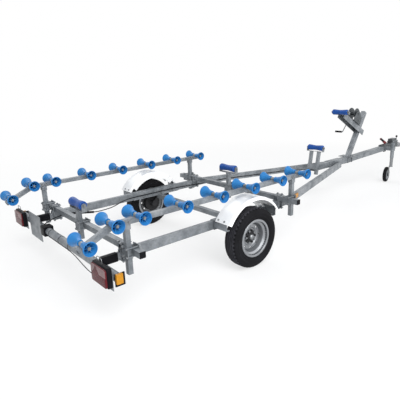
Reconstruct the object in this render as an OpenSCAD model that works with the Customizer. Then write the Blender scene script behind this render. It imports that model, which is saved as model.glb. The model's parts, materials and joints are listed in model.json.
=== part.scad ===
// Single-axle roller trailer for a boat, standing on its road wheels and jockey wheel.
// +X points to the coupling, +Y to the left side, +Z up. The origin is on the ground,
// under the middle of the trailer's length and width.

/* [Road wheels] */
// Outside diameter of the road tyres
tyre_d = 578; // [540:1:620]
// Width over the tyre's side walls
tyre_w = 158; // [140:1:175]
// Distance between the middles of the two tyres
track = 1732; // [1720:2:1800]
// Diameter of the rim's bead seat
rim_seat_d = 330; // [310:1:350]
// Width of the rim between its flanges
rim_w = 114; // [100:1:125]
// Outside diameter of the brake drum
drum_d = 206; // [180:1:230]

/* [Axle] */
// Side of the square axle tube
axle_side = 50; // [40:1:60]
// Wall of the axle tube
axle_wall = 5; // [3:0.5:8]
// Distance that the axle tube lies ahead of the wheel centres
arm_reach = 60; // [40:1:90]
// Width of each rubber-sprung swing arm
arm_w = 24; // [18:1:28]
// Diameter of the stub axles
stub_d = 34; // [28:1:38]

/* [Chassis] */
// Height of the side rails
rail_h = 80; // [60:1:100]
// Width of the side rails
rail_w = 40; // [30:1:50]
// Wall of the chassis tubes
tube_wall = 3; // [2:0.5:5]
// Height of the side rails' middle above the ground with the chassis level
rail_z = 447; // [435:1:470]
// Amount by which the middles of the rails lie closer together than those of the tyres
rail_inset = 352; // [340:2:400]
// Distance of the rails' rear ends behind the wheel centres
rail_back = 1276; // [1270:1:1340]
// Distance ahead of the wheel centres where the rails turn inwards
rail_bend = 801; // [780:1:900]
// Distance ahead of the wheel centres where the two legs end
leg_end = 2861; // [2820:1:2920]
// Side of the square cross tubes, which lie on the rails
cross_side = 50; // [40:1:60]
// Length of the cross tubes
cross_len = 1900; // [1860:5:1960]

/* [Drawbar] */
// Side of the square drawbar tube
bar_side = 80; // [70:1:90]
// Height of the drawbar's middle above the ground with the chassis level
bar_z = 477; // [465:1:490]
// Rise of the drawbar's front end
bar_rise = 31; // [10:1:50]
// Distance ahead of the wheel centres where the drawbar's rear end lies
bar_start = 2237; // [2180:1:2260]
// Distance ahead of the wheel centres where the drawbar's front end lies
bar_end = 4421; // [4380:1:4500]
// Wall of the sleeve that joins the legs to the drawbar
sleeve_wall = 5; // [4:0.5:8]

/* [Roller beams] */
// Side of the square roller beams and of their posts
beam_side = 40; // [36:1:44]
// Distance between the middles of the two roller beams
beam_spread = 1650; // [1620:5:1680]
// Height of the level rollers' axis above the ground with the chassis level
roller_z = 776; // [770:1:800]
// Height of the roller axis above the middle of the beam
axis_rise = 30; // [26:1:36]
// Distance between two roller pairs along the level beam
roller_pitch = 385; // [370:1:400]
// Distance of the rearmost level roller pair behind the wheel centres
roller_start = 1181; // [1175:1:1190]
// Distance of the beam's downward bend behind the wheel centres
tail_start = 1376; // [1370:1:1390]
// Downward angle of the beam's tail
tail_angle = 24.2; // [15:0.1:30]
// Length of the beam's tail
tail_len = 300; // [285:1:330]

/* [Rollers] */
// Largest diameter of the flared rollers
cup_d = 104; // [90:1:108]
// Diameter of the rollers' narrow ends
neck_d = 48; // [42:1:54]
// Length of one flared roller
cup_len = 106; // [90:1:110]
// Diameter of the roller pins
pin_d = 16; // [12:1:18]
// Length of the keel and bow rollers
keel_len = 236; // [200:1:240]
// Diameter of the keel and bow rollers at their ends
keel_d = 78; // [66:1:84]

/* [Winch] */
// Forward lean of the winch post
post_lean = 31.4; // [24:0.1:36]
// Length of the winch post
winch_post_len = 772; // [740:1:820]
// Height along the post where the winch arm crosses it
arm_at = 458; // [430:1:500]
// Upward slope of the winch arm towards the bow
arm_slope = 28; // [24:0.5:32]
// Reach of the winch arm from the post to the bow roller's bracket
arm_len = 567; // [540:1:600]

/* [Jockey wheel] */
// Diameter of the jockey wheel
jockey_d = 260; // [230:1:270]
// Width of the jockey wheel
jockey_w = 62; // [50:1:70]
// Angle by which the jockey wheel is turned from straight ahead
jockey_turn = 11; // [0:1:80]
// Diameter of the jockey wheel's outer tube
jockey_tube_d = 60; // [54:1:66]
// Nose-up angle of the parked chassis
nose_up = 1.05; // [0.8:0.01:1.3]

/* [Mudguards] */
// Inner radius of the mudguards
guard_r = 388; // [375:1:405]
// Width of the mudguards
guard_w = 200; // [190:1:204]
// Sheet thickness of the mudguards
guard_sheet = 4; // [3:0.5:6]

/* [Light bar] */
// Distance of the light bar behind the wheel centres
light_back = 1411; // [1400:1:1440]
// Height of the light bar's middle with the chassis level
light_z = 377; // [376:1:385]
// Diameter of the light bar
light_bar_d = 70; // [68:1:76]
// Distance that the light bar is clamped off the middle, to the left
light_shift = 130; // [110:1:150]
// Distance of each rear lamp from the middle of the light bar
lamp_y = 910; // [890:1:930]
// Width of the rear lamps
lamp_w = 230; // [200:1:250]
// Height of the rear lamps
lamp_h = 158; // [140:1:170]

/* [Hidden] */
$fn = 48;
LEFT = 1;
RIGHT = -1;
SIDES = [LEFT, RIGHT];
galvanised = "silver";
light_blue = [0.16, 0.45, 0.80];
dark_blue = [0.08, 0.25, 0.66];
black = [0.06, 0.06, 0.07];
// Overlap used where a cut runs clear of a face
cut = 1;
// Radial clearance of a part that turns on a pin, and between fitted faces
run_gap = 0.3;
// Sideways clearance at the ends of a roller
end_gap = 0.5;
// Clearance of parts that move past each other
clear = 5;

// Wheel layout, with y measured outwards from the tyre's middle
wheel_r = tyre_d / 2;
wheel_y = track / 2;
rim_seat_r = rim_seat_d / 2;
rim_sheet = 4;
flange_rise = 17;
flange_w = 10;
bead_gap = 0.2;
disc_y = -18;
disc_t = 5;
stud_r = 58;
studs = 5;
stud_d = 14;
boss_r = 44;
drum_len = 58;
drum_face = disc_y - disc_t / 2 - bead_gap;

// Frame layout
rail_spread = track - rail_inset;
rail_y = rail_spread / 2;
rail_out = rail_y + rail_w / 2;
rail_top = rail_z + rail_h / 2;
rail_bottom = rail_z - rail_h / 2;
cross_z = rail_top + cross_side / 2;
rear_cross_x = -1229;
front_cross_x = 606;
cap_depth = 12;
cap_sheet = 4;
cap_fit = 0.2;
clamp_bolt_r = 6;
sleeve_x = [leg_end - 260, leg_end + 100];
sleeve_side = bar_side + 2 * sleeve_wall;
leg_angle = atan2(rail_y - sleeve_side / 2 - rail_w / 2, leg_end - rail_bend);
leg_end_y = sleeve_side / 2 + rail_w / 2 * cos(leg_angle) + run_gap;
leg_turn = atan2(rail_y - leg_end_y, leg_end - rail_bend);
bend_ahead = 429;
bar_bend = leg_end + bend_ahead;
bar_angle = atan2(bar_rise, bar_end - bar_bend);
nose_z = bar_z + bar_rise;

// Axle layout
saddle_wall = 5;
saddle_len = 320;
saddle_joint = 4;
saddle_out = rail_out + saddle_wall;
axle_z = rail_bottom - saddle_wall - axle_side / 2;
axle_half = saddle_out + 7;
arm_y = axle_half + run_gap + arm_w / 2;
back_plate = 4;
back_plate_y = wheel_y + drum_face - drum_len - clear - back_plate / 2;

// Mudguard layout
guard_over = 64;
guard_out = wheel_y + guard_over;
guard_in = guard_out - guard_w;
guard_from = 31.5;
guard_to = 148.5;
guard_lip = 20;
guard_skirt = 68;
skirt_back = 9;

// Roller beam layout
level_pairs = 6;
tail_spots = [248, 11];
pairs = level_pairs + len(tail_spots);
beam_y = beam_spread / 2;
beam_z = roller_z - axis_rise;
beam_front = -roller_start + (level_pairs - 1) * roller_pitch + 90;
post_back = rear_cross_x - cross_side / 2 - beam_side / 2;
post_front = front_cross_x + cross_side / 2 + beam_side / 2;
post_low = rail_bottom - 70;
lug_r = 17;
lug_w = beam_side - 4;
neck_y = beam_side / 2 + 6;
tail_dir = [-cos(tail_angle), -sin(tail_angle)];
tail_up = [-sin(tail_angle), cos(tail_angle)];
tail_end = [-tail_start, beam_z] + tail_len * tail_dir;
// Side position [x, z] of the middle of the beam under each roller pair, rear pair first
beam_spots = concat(
    [for (t = tail_spots) [-tail_start, beam_z] + t * tail_dir],
    [for (i = [0 : level_pairs - 1]) [-roller_start + i * roller_pitch, beam_z]]
);
roller_ups = [for (i = [0 : pairs - 1]) i < len(tail_spots) ? tail_up : [0, 1]];
roller_spots = [for (i = [0 : pairs - 1]) beam_spots[i] + axis_rise * roller_ups[i]];

// Keel roller layout: [x, z] of each axis
keel_rear = [post_back, rail_z + 268];
keel_mid = [front_cross_x - cross_side / 2 - beam_side / 2, rail_z + 297];
keel_rise = 289;
keel_lean = 9;
keel_front = [bar_start + 59, bar_z + keel_rise];
keel_spots = [keel_rear, keel_mid, keel_front];
keel_ear = 6;
keel_ear_y = keel_len / 2 + clear + keel_ear / 2;

// Winch layout. The post's own frame has X ahead and Z along the post.
// The arm's own frame has X along the arm, ahead, and Z square to it.
winch_back = 111;
winch_foot = [bar_bend - winch_back, bar_z + bar_side / 2];
foot_sheet = 8;
winch_post_w = 60;
winch_post_d = 70;
arm_spot = winch_foot + arm_at * [sin(post_lean), cos(post_lean)];
arm_ahead = 107;
arm_wide = winch_post_w + 40;
arm_depth = 80;
arm_sheet = 5;
bow_drop = keel_d / 2 + 12;
bow_spot = [-arm_len - bow_drop, 25];
drum_spot = [-240, 170];
crank_spot = [-158, 94];
frame_sheet = 5;
frame_y = 66;
drum_shaft_r = 9;
gear_r = 88;
pinion_r = norm(drum_spot - crank_spot) - gear_r - end_gap;
gear_y = 52;
gear_w = 8;
crank_shaft_r = 8;
crank_y = 112;
crank_rod_r = 7;
crank_len = 228;
crank_swing = 14;
grip_len = 112;
grip_r = 14;

// Coupling layout, from the middle of the drawbar's front end and along its slope
body_x = [170, 370];
body_z = [-30, 128];
body_w = 96;
ball_r = 25.2;
ball_x = 479;
head_r = 47;
head_z = [-50, 24];
socket_len = 50;
lever_t = 10;
lever_w = 26;
lever_len = 308;
lever_slope = 27;
lever_base = [203, 17];
lever_y = body_w / 2 + run_gap + lever_t / 2;
lever_grip_len = 100;
handle_r = 7;
handle_x = ball_x - 62;
handle_len = 120;
knob_r = 18;

// Jockey wheel layout
jockey_back = 58;
jockey_x = bar_end - jockey_back;
jockey_y = -160;
jockey_r = jockey_d / 2;
jockey_side = 65;
jockey_axle_r = 10;
jockey_edge = 18;
jockey_tube_z = [345, 612];
jockey_cap = 10;
leg_d = jockey_tube_d - 8;
leg_in = 120;
fork_top = 205;
fork_sheet = 8;
fork_disc = 12;
// The turned wheel leans a little with the raised chassis, and its tread's edge meets the ground
jockey_hub_x = jockey_x - jockey_side * sin(jockey_turn);
jockey_lean = asin(sin(nose_up) * sin(jockey_turn));
jockey_low = jockey_r * cos(jockey_lean) + (jockey_w / 2 - jockey_edge) * sin(jockey_lean);
jockey_axle_z = wheel_r + (jockey_low - wheel_r - jockey_hub_x * sin(nose_up)) / cos(nose_up);

// Light bar layout
light_arm_w = rail_w - 2 * tube_wall - 2 * run_gap;
light_arm_h = 60;
light_arm_z = rail_bottom + tube_wall + run_gap + light_arm_h / 2;
light_arm_in = 160;
block_y = 477;
block = [light_bar_d + 24, 100, light_bar_d + 24];
lamp_z = light_z + 10;
lamp_depth = 44;
lens_border = 9;
lens_depth = 14;
lamp_front = -light_back - light_bar_d / 2;
plate_t = 4;
lamp_seat = lamp_front - plate_t;
lamp_back = lamp_seat - lamp_depth;
marker_t = 14;
marker_w = 90;
marker_h = 42;
// Amber lamps at the ends of the light bar, [along, high, thick], and their black bases
bar_marker = [52, 76, 20];
bar_marker_base = [80, 100, 10];
// Shift of the black bases, [ahead, up]
base_shift = [12, -14];
left_lamp_y = light_shift + lamp_y;
right_lamp_y = light_shift - lamp_y;
light_half = lamp_y + lamp_w / 2;
light_reach = light_half + bar_marker_base[2] + bar_marker[2];
// Edges of the lamps' plates from the lamps' middles, and of the blank plate from the left lamp's
plate_in = 20;
plate_edge = 8;
plate_low = 108;
plate_high = 60;
blank_y = [510, 190];
blank_low = 140;
blank_high = 112;
// [right edge, left edge, lower edge, upper edge] of the plates on the light bar
plate_table = concat(
    [for (y = [left_lamp_y, right_lamp_y])
        [y - lamp_w / 2 + plate_edge, y + plate_in, lamp_z - plate_low, lamp_z + plate_high]],
    [[left_lamp_y - blank_y[0], left_lamp_y - blank_y[1], lamp_z - blank_low, lamp_z + blank_high]]
);

// Wiring layout
cable_r = 5;
cable_gap = cable_r + run_gap;
cable_y = rail_y - rail_w / 2 - 2 * clamp_bolt_r - 1 - cable_gap;

// Ground position of a chassis point once the nose is raised
function parked_x(x, z) = x * cos(nose_up) - (z - wheel_r) * sin(nose_up);
// Chassis position of a point in the coupling's frame
function nose_point(x, z) = [bar_end, nose_z] + [x * cos(bar_angle) - z * sin(bar_angle),
    x * sin(bar_angle) + z * cos(bar_angle)];
head_tip = nose_point(ball_x + head_r, head_z[0]);
tail_tip = tail_end + beam_side / 2 * tail_up;
rear_roller = roller_spots[0];
rear_reach = min(parked_x(tail_tip[0], tail_tip[1]), parked_x(rear_roller[0], rear_roller[1]) - cup_d / 2);
front_reach = parked_x(head_tip[0], head_tip[1]);
roller_reach = beam_y + neck_y + cup_len;
side_reach = max(guard_out, roller_reach, cross_len / 2 + cap_sheet);
left_reach = max(side_reach, light_reach + light_shift);
right_reach = max(side_reach, light_reach - light_shift);
// Puts the origin under the middle of the trailer's length and width
shift_x = -(rear_reach + front_reach) / 2;
shift_y = (right_reach - left_reach) / 2;

function unit(v) = v / norm(v);
function left_of(v) = [-v[1], v[0]];
function seg(path, i) = left_of(unit(path[i + 1] - path[i]));
// Mitre direction at point i of a path, scaled so that a strip keeps its width
function mitre(path, i) =
    let (a = seg(path, max(i - 1, 0)), b = seg(path, min(i, len(path) - 2)))
    (a + b) / (1 + a * b);
// Outline of a strip that follows a path, hw to each side
function strip(path, hw) = concat(
    [for (i = [0 : len(path) - 1]) path[i] + hw * mitre(path, i)],
    [for (i = [len(path) - 1 : -1 : 0]) path[i] - hw * mitre(path, i)]
);
// The same path, run past both ends by e
function longer(path, e) =
    let (n = len(path) - 1)
    concat(
        [path[0] - e * unit(path[1] - path[0])],
        [for (i = [1 : 1 : n - 1]) path[i]],
        [path[n] + e * unit(path[n] - path[n - 1])]
    );

// Puts the chassis at its parked nose-up angle, about the wheel centres
module parked() {
    translate([shift_x, shift_y, wheel_r]) rotate([0, -nose_up, 0]) translate([0, 0, -wheel_r]) children();
}

// Children are drawn for the left side and come mirrored on the right
module on_side(side) {
    mirror([0, side == LEFT ? 0 : 1, 0]) children();
}

// Tube that follows a path in plan, w wide and h high
module plan_tube(path, w, h, wall) {
    difference() {
        linear_extrude(h, center = true) polygon(strip(path, w / 2));
        linear_extrude(h - 2 * wall, center = true) polygon(strip(longer(path, cut), w / 2 - wall));
    }
}

// Tube that follows a path in side view, w wide and h high
module side_tube(path, w, h, wall) {
    rotate([90, 0, 0]) plan_tube(path, h, w, wall);
}

// Straight tube along Y
module cross_tube(l, w, h, wall) {
    difference() {
        cube([w, l, h], center = true);
        cube([w - 2 * wall, l + 2 * cut, h - 2 * wall], center = true);
    }
}

// Upright tube from z0 to z1
module upright(z0, z1, wx, wy, wall) {
    translate([0, 0, (z0 + z1) / 2]) difference() {
        cube([wx, wy, z1 - z0], center = true);
        cube([wx - 2 * wall, wy - 2 * wall, z1 - z0 + 2 * cut], center = true);
    }
}

// Round bar along Y
module bar_y(r, l) {
    rotate([90, 0, 0]) cylinder(r = r, h = l, center = true);
}

// Box that spans two corners
module span(a, b) {
    translate((a + b) / 2) cube([abs(b[0] - a[0]), abs(b[1] - a[1]), abs(b[2] - a[2])], center = true);
}

module side_rails() {
    path = [[-rail_back, rail_y], [rail_bend, rail_y], [leg_end, leg_end_y]];
    color(galvanised) parked() for (side = SIDES) on_side(side)
        translate([0, 0, rail_z]) plan_tube(path, rail_w, rail_h, tube_wall);
}

module cross_members() {
    color(galvanised) parked() for (x = [rear_cross_x, front_cross_x])
        translate([x, 0, cross_z]) cross_tube(cross_len, cross_side, cross_side, tube_wall);
}

// Push-in plug for the end of a tube: w by h outside, its face along +Y
module tube_plug(w, h, wall) {
    translate([0, cap_sheet / 2, 0]) cube([w, cap_sheet, h], center = true);
    translate([0, -cap_depth / 2, 0])
        cube([w - 2 * wall - 2 * cap_fit, cap_depth, h - 2 * wall - 2 * cap_fit], center = true);
}

// Plugs of the tube ends, the handbrake's grip and the coupling handle's knob
module end_caps() {
    color(black) parked() {
        for (side = SIDES) on_side(side) {
            for (x = [rear_cross_x, front_cross_x])
                translate([x, cross_len / 2, cross_z]) tube_plug(cross_side, cross_side, tube_wall);
            translate([beam_front, beam_y, beam_z]) rotate([0, 0, -90])
                tube_plug(beam_side, beam_side, tube_wall);
        }
        at_nose() {
            along_lever() translate([0, 0, lever_len - lever_grip_len / 2]) difference() {
                cylinder(r = lever_w / 2 + 5, h = lever_grip_len, center = true);
                cube([lever_w + 2 * cap_fit, lever_t + 2 * cap_fit, lever_grip_len + 2 * cut], center = true);
            }
            translate([handle_x, 0, head_z[1] + handle_len]) difference() {
                sphere(r = knob_r);
                translate([0, 0, -2 * knob_r]) cylinder(r = handle_r + cap_fit, h = 2 * knob_r);
            }
        }
    }
}

module drawbar() {
    path = [[bar_start, bar_z], [bar_bend, bar_z], [bar_end, nose_z]];
    color(galvanised) parked() side_tube(path, bar_side, bar_side, tube_wall + 1);
}

// Sleeve round the drawbar that both legs are welded to
module apex_sleeve() {
    len_x = sleeve_x[1] - sleeve_x[0];
    color(galvanised) parked() translate([(sleeve_x[0] + sleeve_x[1]) / 2, 0, bar_z]) rotate([0, 0, 90])
        cross_tube(len_x, sleeve_side, sleeve_side, sleeve_wall);
}

module axle_beam() {
    color(galvanised) parked() translate([arm_reach, 0, axle_z])
        cross_tube(2 * axle_half, axle_side, axle_side, axle_wall);
}

// Two sleeves on each rail, with the bolts that hold the axle under them
module axle_saddles() {
    bolt_r = 7;
    bolt_h = 9;
    bolt_z = rail_bottom + 14;
    // Distances from the axle's middle of the bolt heads along the sleeve's lower edge
    bolt_spots = [-200, -165, 30, 65, 195, 230];
    color(galvanised) parked() for (side = SIDES) on_side(side) {
        for (end = [-1, 1])
            translate([end * (saddle_len + saddle_joint) / 2, rail_y, rail_z]) rotate([0, 0, 90])
                cross_tube(saddle_len, rail_w + 2 * saddle_wall, rail_h + 2 * saddle_wall, saddle_wall);
        for (x = bolt_spots, e = [-1, 1])
            translate([x, rail_y + e * (rail_w / 2 + saddle_wall + bolt_h / 2), bolt_z]) bar_y(bolt_r, bolt_h);
    }
}

// Trailing arms of the rubber-sprung axle, each with its stub axle and brake back plate
module swing_arms() {
    reach = [arm_reach, axle_z - wheel_r];
    arm_half = 24;
    axle_eye = 36;
    stub_eye = 38;
    stub_end = wheel_y + 4;
    color(galvanised) parked() for (side = SIDES) on_side(side) translate([0, arm_y, wheel_r]) {
        rotate([90, 0, 0]) linear_extrude(arm_w, center = true) {
            polygon(strip([[0, 0], reach], arm_half));
            circle(r = stub_eye);
            translate(reach) circle(r = axle_eye);
        }
        translate([0, (back_plate_y - arm_y) / 2, 0]) bar_y(stub_eye, back_plate_y - arm_y);
        translate([0, back_plate_y - arm_y, 0]) bar_y(drum_d / 2 - 3, back_plate);
        translate([0, (stub_end - arm_y) / 2, 0]) bar_y(stub_d / 2, stub_end - arm_y);
    }
}

// Places children at a road wheel: the origin in the tyre's middle, +Y outwards
module at_wheel(side) {
    parked() on_side(side) translate([0, wheel_y, wheel_r]) children();
}

// Revolves a profile of [radius, y] points about the wheel axis
module turned(points) {
    rotate([-90, 0, 0]) rotate_extrude($fn = 96) polygon(points);
}

module tyre() {
    bead = rim_w / 2 - bead_gap;
    wall_r = rim_seat_r + flange_rise + 3;
    shoulder = tyre_w / 2 - 18;
    bulge = tyre_w / 2 - (bead + shoulder) / 2;
    side = [for (t = [0 : 0.125 : 1])
        [wall_r + t * (wheel_r - 9 - wall_r), bead + t * (shoulder - bead) + bulge * sin(180 * t)]];
    tread = [[wheel_r - 2, shoulder - 9], [wheel_r, shoulder - 24]];
    half = concat([[rim_seat_r + bead_gap, bead]], side, tread);
    color(black) turned(concat(half, [for (i = [len(half) - 1 : -1 : 0]) [half[i][0], -half[i][1]]]));
}

// Deep rim: barrel with a sunk well, and a dished disc near its inner side
module rim() {
    in_r = rim_seat_r - rim_sheet;
    half_w = rim_w / 2;
    lip_r = rim_seat_r + flange_rise;
    lip_y = half_w + flange_w;
    well_r = rim_seat_r - 24;
    edge = 3;
    barrel = [
        [in_r, -lip_y], [lip_r, -lip_y], [lip_r, -half_w],
        [rim_seat_r, -half_w], [rim_seat_r, half_w],
        [lip_r, half_w], [lip_r, lip_y - edge], [lip_r - edge, lip_y],
        [in_r + edge, lip_y], [in_r, lip_y - edge],
        [in_r, half_w - 17], [well_r, half_w - 31], [well_r, -half_w + 27], [in_r, -half_w + 8]
    ];
    dish = [[boss_r + 2, disc_y], [80, disc_y], [92, disc_y + 12], [118, disc_y + 10],
        [well_r + 2, disc_y - 6]];
    vents = 8;
    vent_r = 10;
    vent_at = 110;
    color("gainsboro") {
        turned(barrel);
        difference() {
            turned(strip(dish, disc_t / 2));
            for (i = [0 : vents - 1]) rotate([0, i * 360 / vents, 0])
                translate([vent_at, disc_y, 0]) bar_y(vent_r, 4 * vent_r);
            for (i = [0 : studs - 1]) rotate([0, i * 360 / studs, 0])
                translate([stud_r, disc_y, 0]) bar_y(stud_d / 2 + 1, 4 * disc_t);
        }
    }
}

// Brake drum, hub with its dust cap, and wheel studs with their nuts
module hub() {
    bore_r = stub_d / 2 + run_gap;
    bore_end = 6;
    cap_r = 27;
    cap_end = disc_y + 40;
    nut_r = 11;
    nut_y = disc_y + disc_t / 2 + run_gap;
    nut_len = 18;
    low = drum_face - drum_len;
    color("dimgray") {
        difference() {
            turned([[0, low], [drum_d / 2, low], [drum_d / 2, drum_face - 14], [drum_d / 2 - 18, drum_face],
                [boss_r, drum_face], [boss_r, disc_y + 20], [cap_r, disc_y + 24], [cap_r, cap_end - 6],
                [cap_r - 6, cap_end], [0, cap_end]]);
            translate([0, (low - cut + bore_end) / 2, 0]) bar_y(bore_r, bore_end - low + cut);
        }
        for (i = [0 : studs - 1]) rotate([0, i * 360 / studs, 0]) translate([stud_r, 0, 0]) {
            translate([0, (drum_face - 2 + nut_y) / 2, 0]) bar_y(stud_d / 2, nut_y - drum_face + 2 + cut);
            translate([0, nut_y + nut_len / 2, 0]) bar_y(nut_r, nut_len);
        }
    }
}

module hub_left() at_wheel(LEFT) hub();
module hub_right() at_wheel(RIGHT) hub();
module rim_left() at_wheel(LEFT) rim();
module rim_right() at_wheel(RIGHT) rim();
module tyre_left() at_wheel(LEFT) tyre();
module tyre_right() at_wheel(RIGHT) tyre();

// Turns a profile of [radius, y] points about the wheel axis, between two angles
module swept(points, a0, a1) {
    rotate([90, 0, 0]) rotate([0, 0, a0]) rotate_extrude(angle = a1 - a0, $fn = 96)
        polygon([for (p = points) [p[0], -p[1]]]);
}

module mudguards() {
    half = guard_sheet / 2;
    top_r = guard_r + half;
    turn = 12;
    outer = guard_out - half;
    inner = guard_in + half;
    skin = [[guard_r - guard_lip, outer], [top_r - turn, outer], [top_r, outer - turn], [top_r, inner + turn],
        [top_r - turn, inner], [guard_r - guard_lip, inner]];
    skirt = [[top_r - turn - 1, inner], [guard_r - guard_skirt, inner]];
    color("white") parked() for (side = SIDES) on_side(side) translate([0, 0, wheel_r]) {
        swept(strip(skin, half), guard_from, guard_to);
        swept(strip(skirt, half), guard_from + skirt_back, guard_to - skirt_back);
    }
}

// Channels that reach from the rails to the ends of the mudguards
module guard_brackets() {
    sheet = 5;
    depth = 62;
    flange = 36;
    outer_back = 44;
    outer = guard_out - outer_back;
    tab = 6;
    tab_back = 24;
    tab_in = guard_in + tab_back;
    lip_room = 8;
    seat_r = guard_r - run_gap;
    // [angle of the guard's end, turn of the tab from there, y of the seat]
    ends = [
        [guard_to, -tab, saddle_out + run_gap],
        [guard_from, tab, saddle_out + run_gap]
    ];
    color(galvanised) parked() for (side = SIDES) on_side(side) for (e = ends) translate([0, 0, wheel_r]) {
        ahead = e[1] < 0 ? 1 : -1;
        x = (seat_r - sheet / 2) * cos(e[0]);
        top = (seat_r - sheet / 2) * sin(e[0]);
        swept([[seat_r - sheet, tab_in], [seat_r, tab_in], [seat_r, outer], [seat_r - sheet, outer]],
            min(e[0], e[0] + e[1]), max(e[0], e[0] + e[1]));
        span([x - sheet / 2, tab_in, top - depth], [x + sheet / 2, outer, top]);
        span([x - sheet / 2, e[2], top - depth], [x + sheet / 2, tab_in, top - lip_room]);
        span([x, e[2], top - depth], [x + ahead * flange, outer, top - depth + sheet]);
    }
}

// Light-blue pair of flared rollers on one pin, about the Y axis
module flared_pair() {
    hub_tube_r = 15;
    hub_end = cup_len - 30;
    skin = 7;
    web = 36;
    neck_r = neck_d / 2;
    cup_r = cup_d / 2;
    flare_len = cup_len - 10;
    steps = 8;
    hollow_from = 3;
    function flare(t) = neck_r + (cup_r - neck_r) * (1 - cos(90 * pow(t, 1.1)));
    outer = [for (i = [0 : steps]) [flare(i / steps), i / steps * flare_len]];
    rim = [[cup_r - 1, cup_len - 3], [cup_r - 4, cup_len], [cup_r - skin, cup_len - 4]];
    inner = [for (i = [steps : -1 : hollow_from]) [flare(i / steps) - skin, i / steps * flare_len]];
    bore_r = pin_d / 2 + run_gap;
    profile = concat([[bore_r, 0]], outer, rim, inner,
        [[hub_tube_r, web], [hub_tube_r, hub_end], [bore_r, hub_end]]);
    color(light_blue) for (side = SIDES) on_side(side)
        translate([0, neck_y, 0]) rotate([-90, 0, 0]) rotate_extrude($fn = 64) polygon(profile);
}

module roller_at(side, i) {
    parked() on_side(side) translate([roller_spots[i][0], beam_y, roller_spots[i][1]]) flared_pair();
}
module roller_left_1() roller_at(LEFT, 0);
module roller_left_2() roller_at(LEFT, 1);
module roller_left_3() roller_at(LEFT, 2);
module roller_left_4() roller_at(LEFT, 3);
module roller_left_5() roller_at(LEFT, 4);
module roller_left_6() roller_at(LEFT, 5);
module roller_left_7() roller_at(LEFT, 6);
module roller_left_8() roller_at(LEFT, 7);
module roller_right_1() roller_at(RIGHT, 0);
module roller_right_2() roller_at(RIGHT, 1);
module roller_right_3() roller_at(RIGHT, 2);
module roller_right_4() roller_at(RIGHT, 3);
module roller_right_5() roller_at(RIGHT, 4);
module roller_right_6() roller_at(RIGHT, 5);
module roller_right_7() roller_at(RIGHT, 6);
module roller_right_8() roller_at(RIGHT, 7);

// Bored lug that stands on a beam, about the roller axis
module pin_lug() {
    foot = axis_rise - beam_side / 2 + tube_wall / 2;
    rotate([90, 0, 0]) linear_extrude(lug_w, center = true) difference() {
        union() {
            circle(r = lug_r);
            translate([-lug_r, -foot]) square([2 * lug_r, foot]);
        }
        circle(d = pin_d);
        translate([-2 * lug_r, -foot - 2 * lug_r]) square([4 * lug_r, 2 * lug_r]);
    }
}

// Bent beams with a pin lug on top for each roller pair
module roller_beams() {
    path = [tail_end, [-tail_start, beam_z], [beam_front, beam_z]];
    color(galvanised) parked() for (side = SIDES) on_side(side) translate([0, beam_y, 0]) {
        side_tube(path, beam_side, beam_side, tube_wall);
        for (i = [0 : pairs - 1]) translate([roller_spots[i][0], 0, roller_spots[i][1]])
            rotate([0, i < len(tail_spots) ? -tail_angle : 0, 0]) pin_lug();
    }
}

// Posts under the roller beams, with two ears that hold the beam and the bolt through them
module beam_posts() {
    ear = 5;
    ear_len = 50;
    ear_h = beam_side + 34;
    bolt_r = 9;
    bolt_h = 8;
    bolt_x = 14;
    color(galvanised) parked() for (side = SIDES) on_side(side) for (x = [post_back, post_front])
        translate([x, beam_y, 0]) {
            upright(post_low, beam_z - beam_side / 2, beam_side, beam_side, tube_wall);
            for (e = SIDES) translate([0, e * (beam_side + ear) / 2, beam_z - beam_side / 2]) {
                cube([ear_len, ear, ear_h], center = true);
                for (b = SIDES) translate([b * bolt_x, e * (ear + bolt_h) / 2, beam_side / 2])
                    bar_y(bolt_r, bolt_h);
            }
        }
}

// Two plates and four bolts that clamp an upright against the side of a cross tube.
// The upright stands in front of the cross tube where ahead is 1, behind it where -1.
module clamp_set(ahead) {
    plate = 7;
    edge = 14;
    bolt_over = 12;
    bolt_y = beam_side / 2 + clamp_bolt_r + 2;
    bolt_z = cross_side / 2 + clamp_bolt_r + 2;
    near = -cross_side / 2 - plate;
    far = cross_side / 2 + beam_side;
    mirror([ahead > 0 ? 0 : 1, 0, 0]) {
        for (x = [near, far])
            span([x, -bolt_y - edge, -bolt_z - edge], [x + plate, bolt_y + edge, bolt_z + edge]);
        for (y = [-bolt_y, bolt_y], z = [-bolt_z, bolt_z])
            translate([near - bolt_over, y, z]) rotate([0, 90, 0])
                cylinder(r = clamp_bolt_r, h = far - near + plate + 2 * bolt_over);
    }
}

// Plates over and under a crossing, with four bolts that hold the cross tube on the rail
module crossing_clamp() {
    plate = 7;
    edge = 13;
    bolt_over = 12;
    bolt_x = cross_side / 2 + clamp_bolt_r + 1;
    bolt_y = rail_w / 2 + clamp_bolt_r + 1;
    low = rail_bottom - plate;
    high = rail_top + cross_side;
    for (z = [low, high])
        span([-bolt_x - edge, -bolt_y - edge, z], [bolt_x + edge, bolt_y + edge, z + plate]);
    for (x = [-bolt_x, bolt_x], y = [-bolt_y, bolt_y])
        translate([x, y, low - bolt_over]) cylinder(r = clamp_bolt_r, h = high - low + plate + 2 * bolt_over);
}

module post_clamps() {
    color(galvanised) parked() {
        for (side = SIDES) on_side(side) {
            translate([rear_cross_x, beam_y, cross_z]) clamp_set(-1);
            translate([front_cross_x, beam_y, cross_z]) clamp_set(1);
            for (x = [rear_cross_x, front_cross_x]) translate([x, rail_y, 0]) crossing_clamp();
        }
        for (x = [rear_cross_x, front_cross_x]) translate([x, 0, cross_z]) clamp_set(-1);
    }
}

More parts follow.
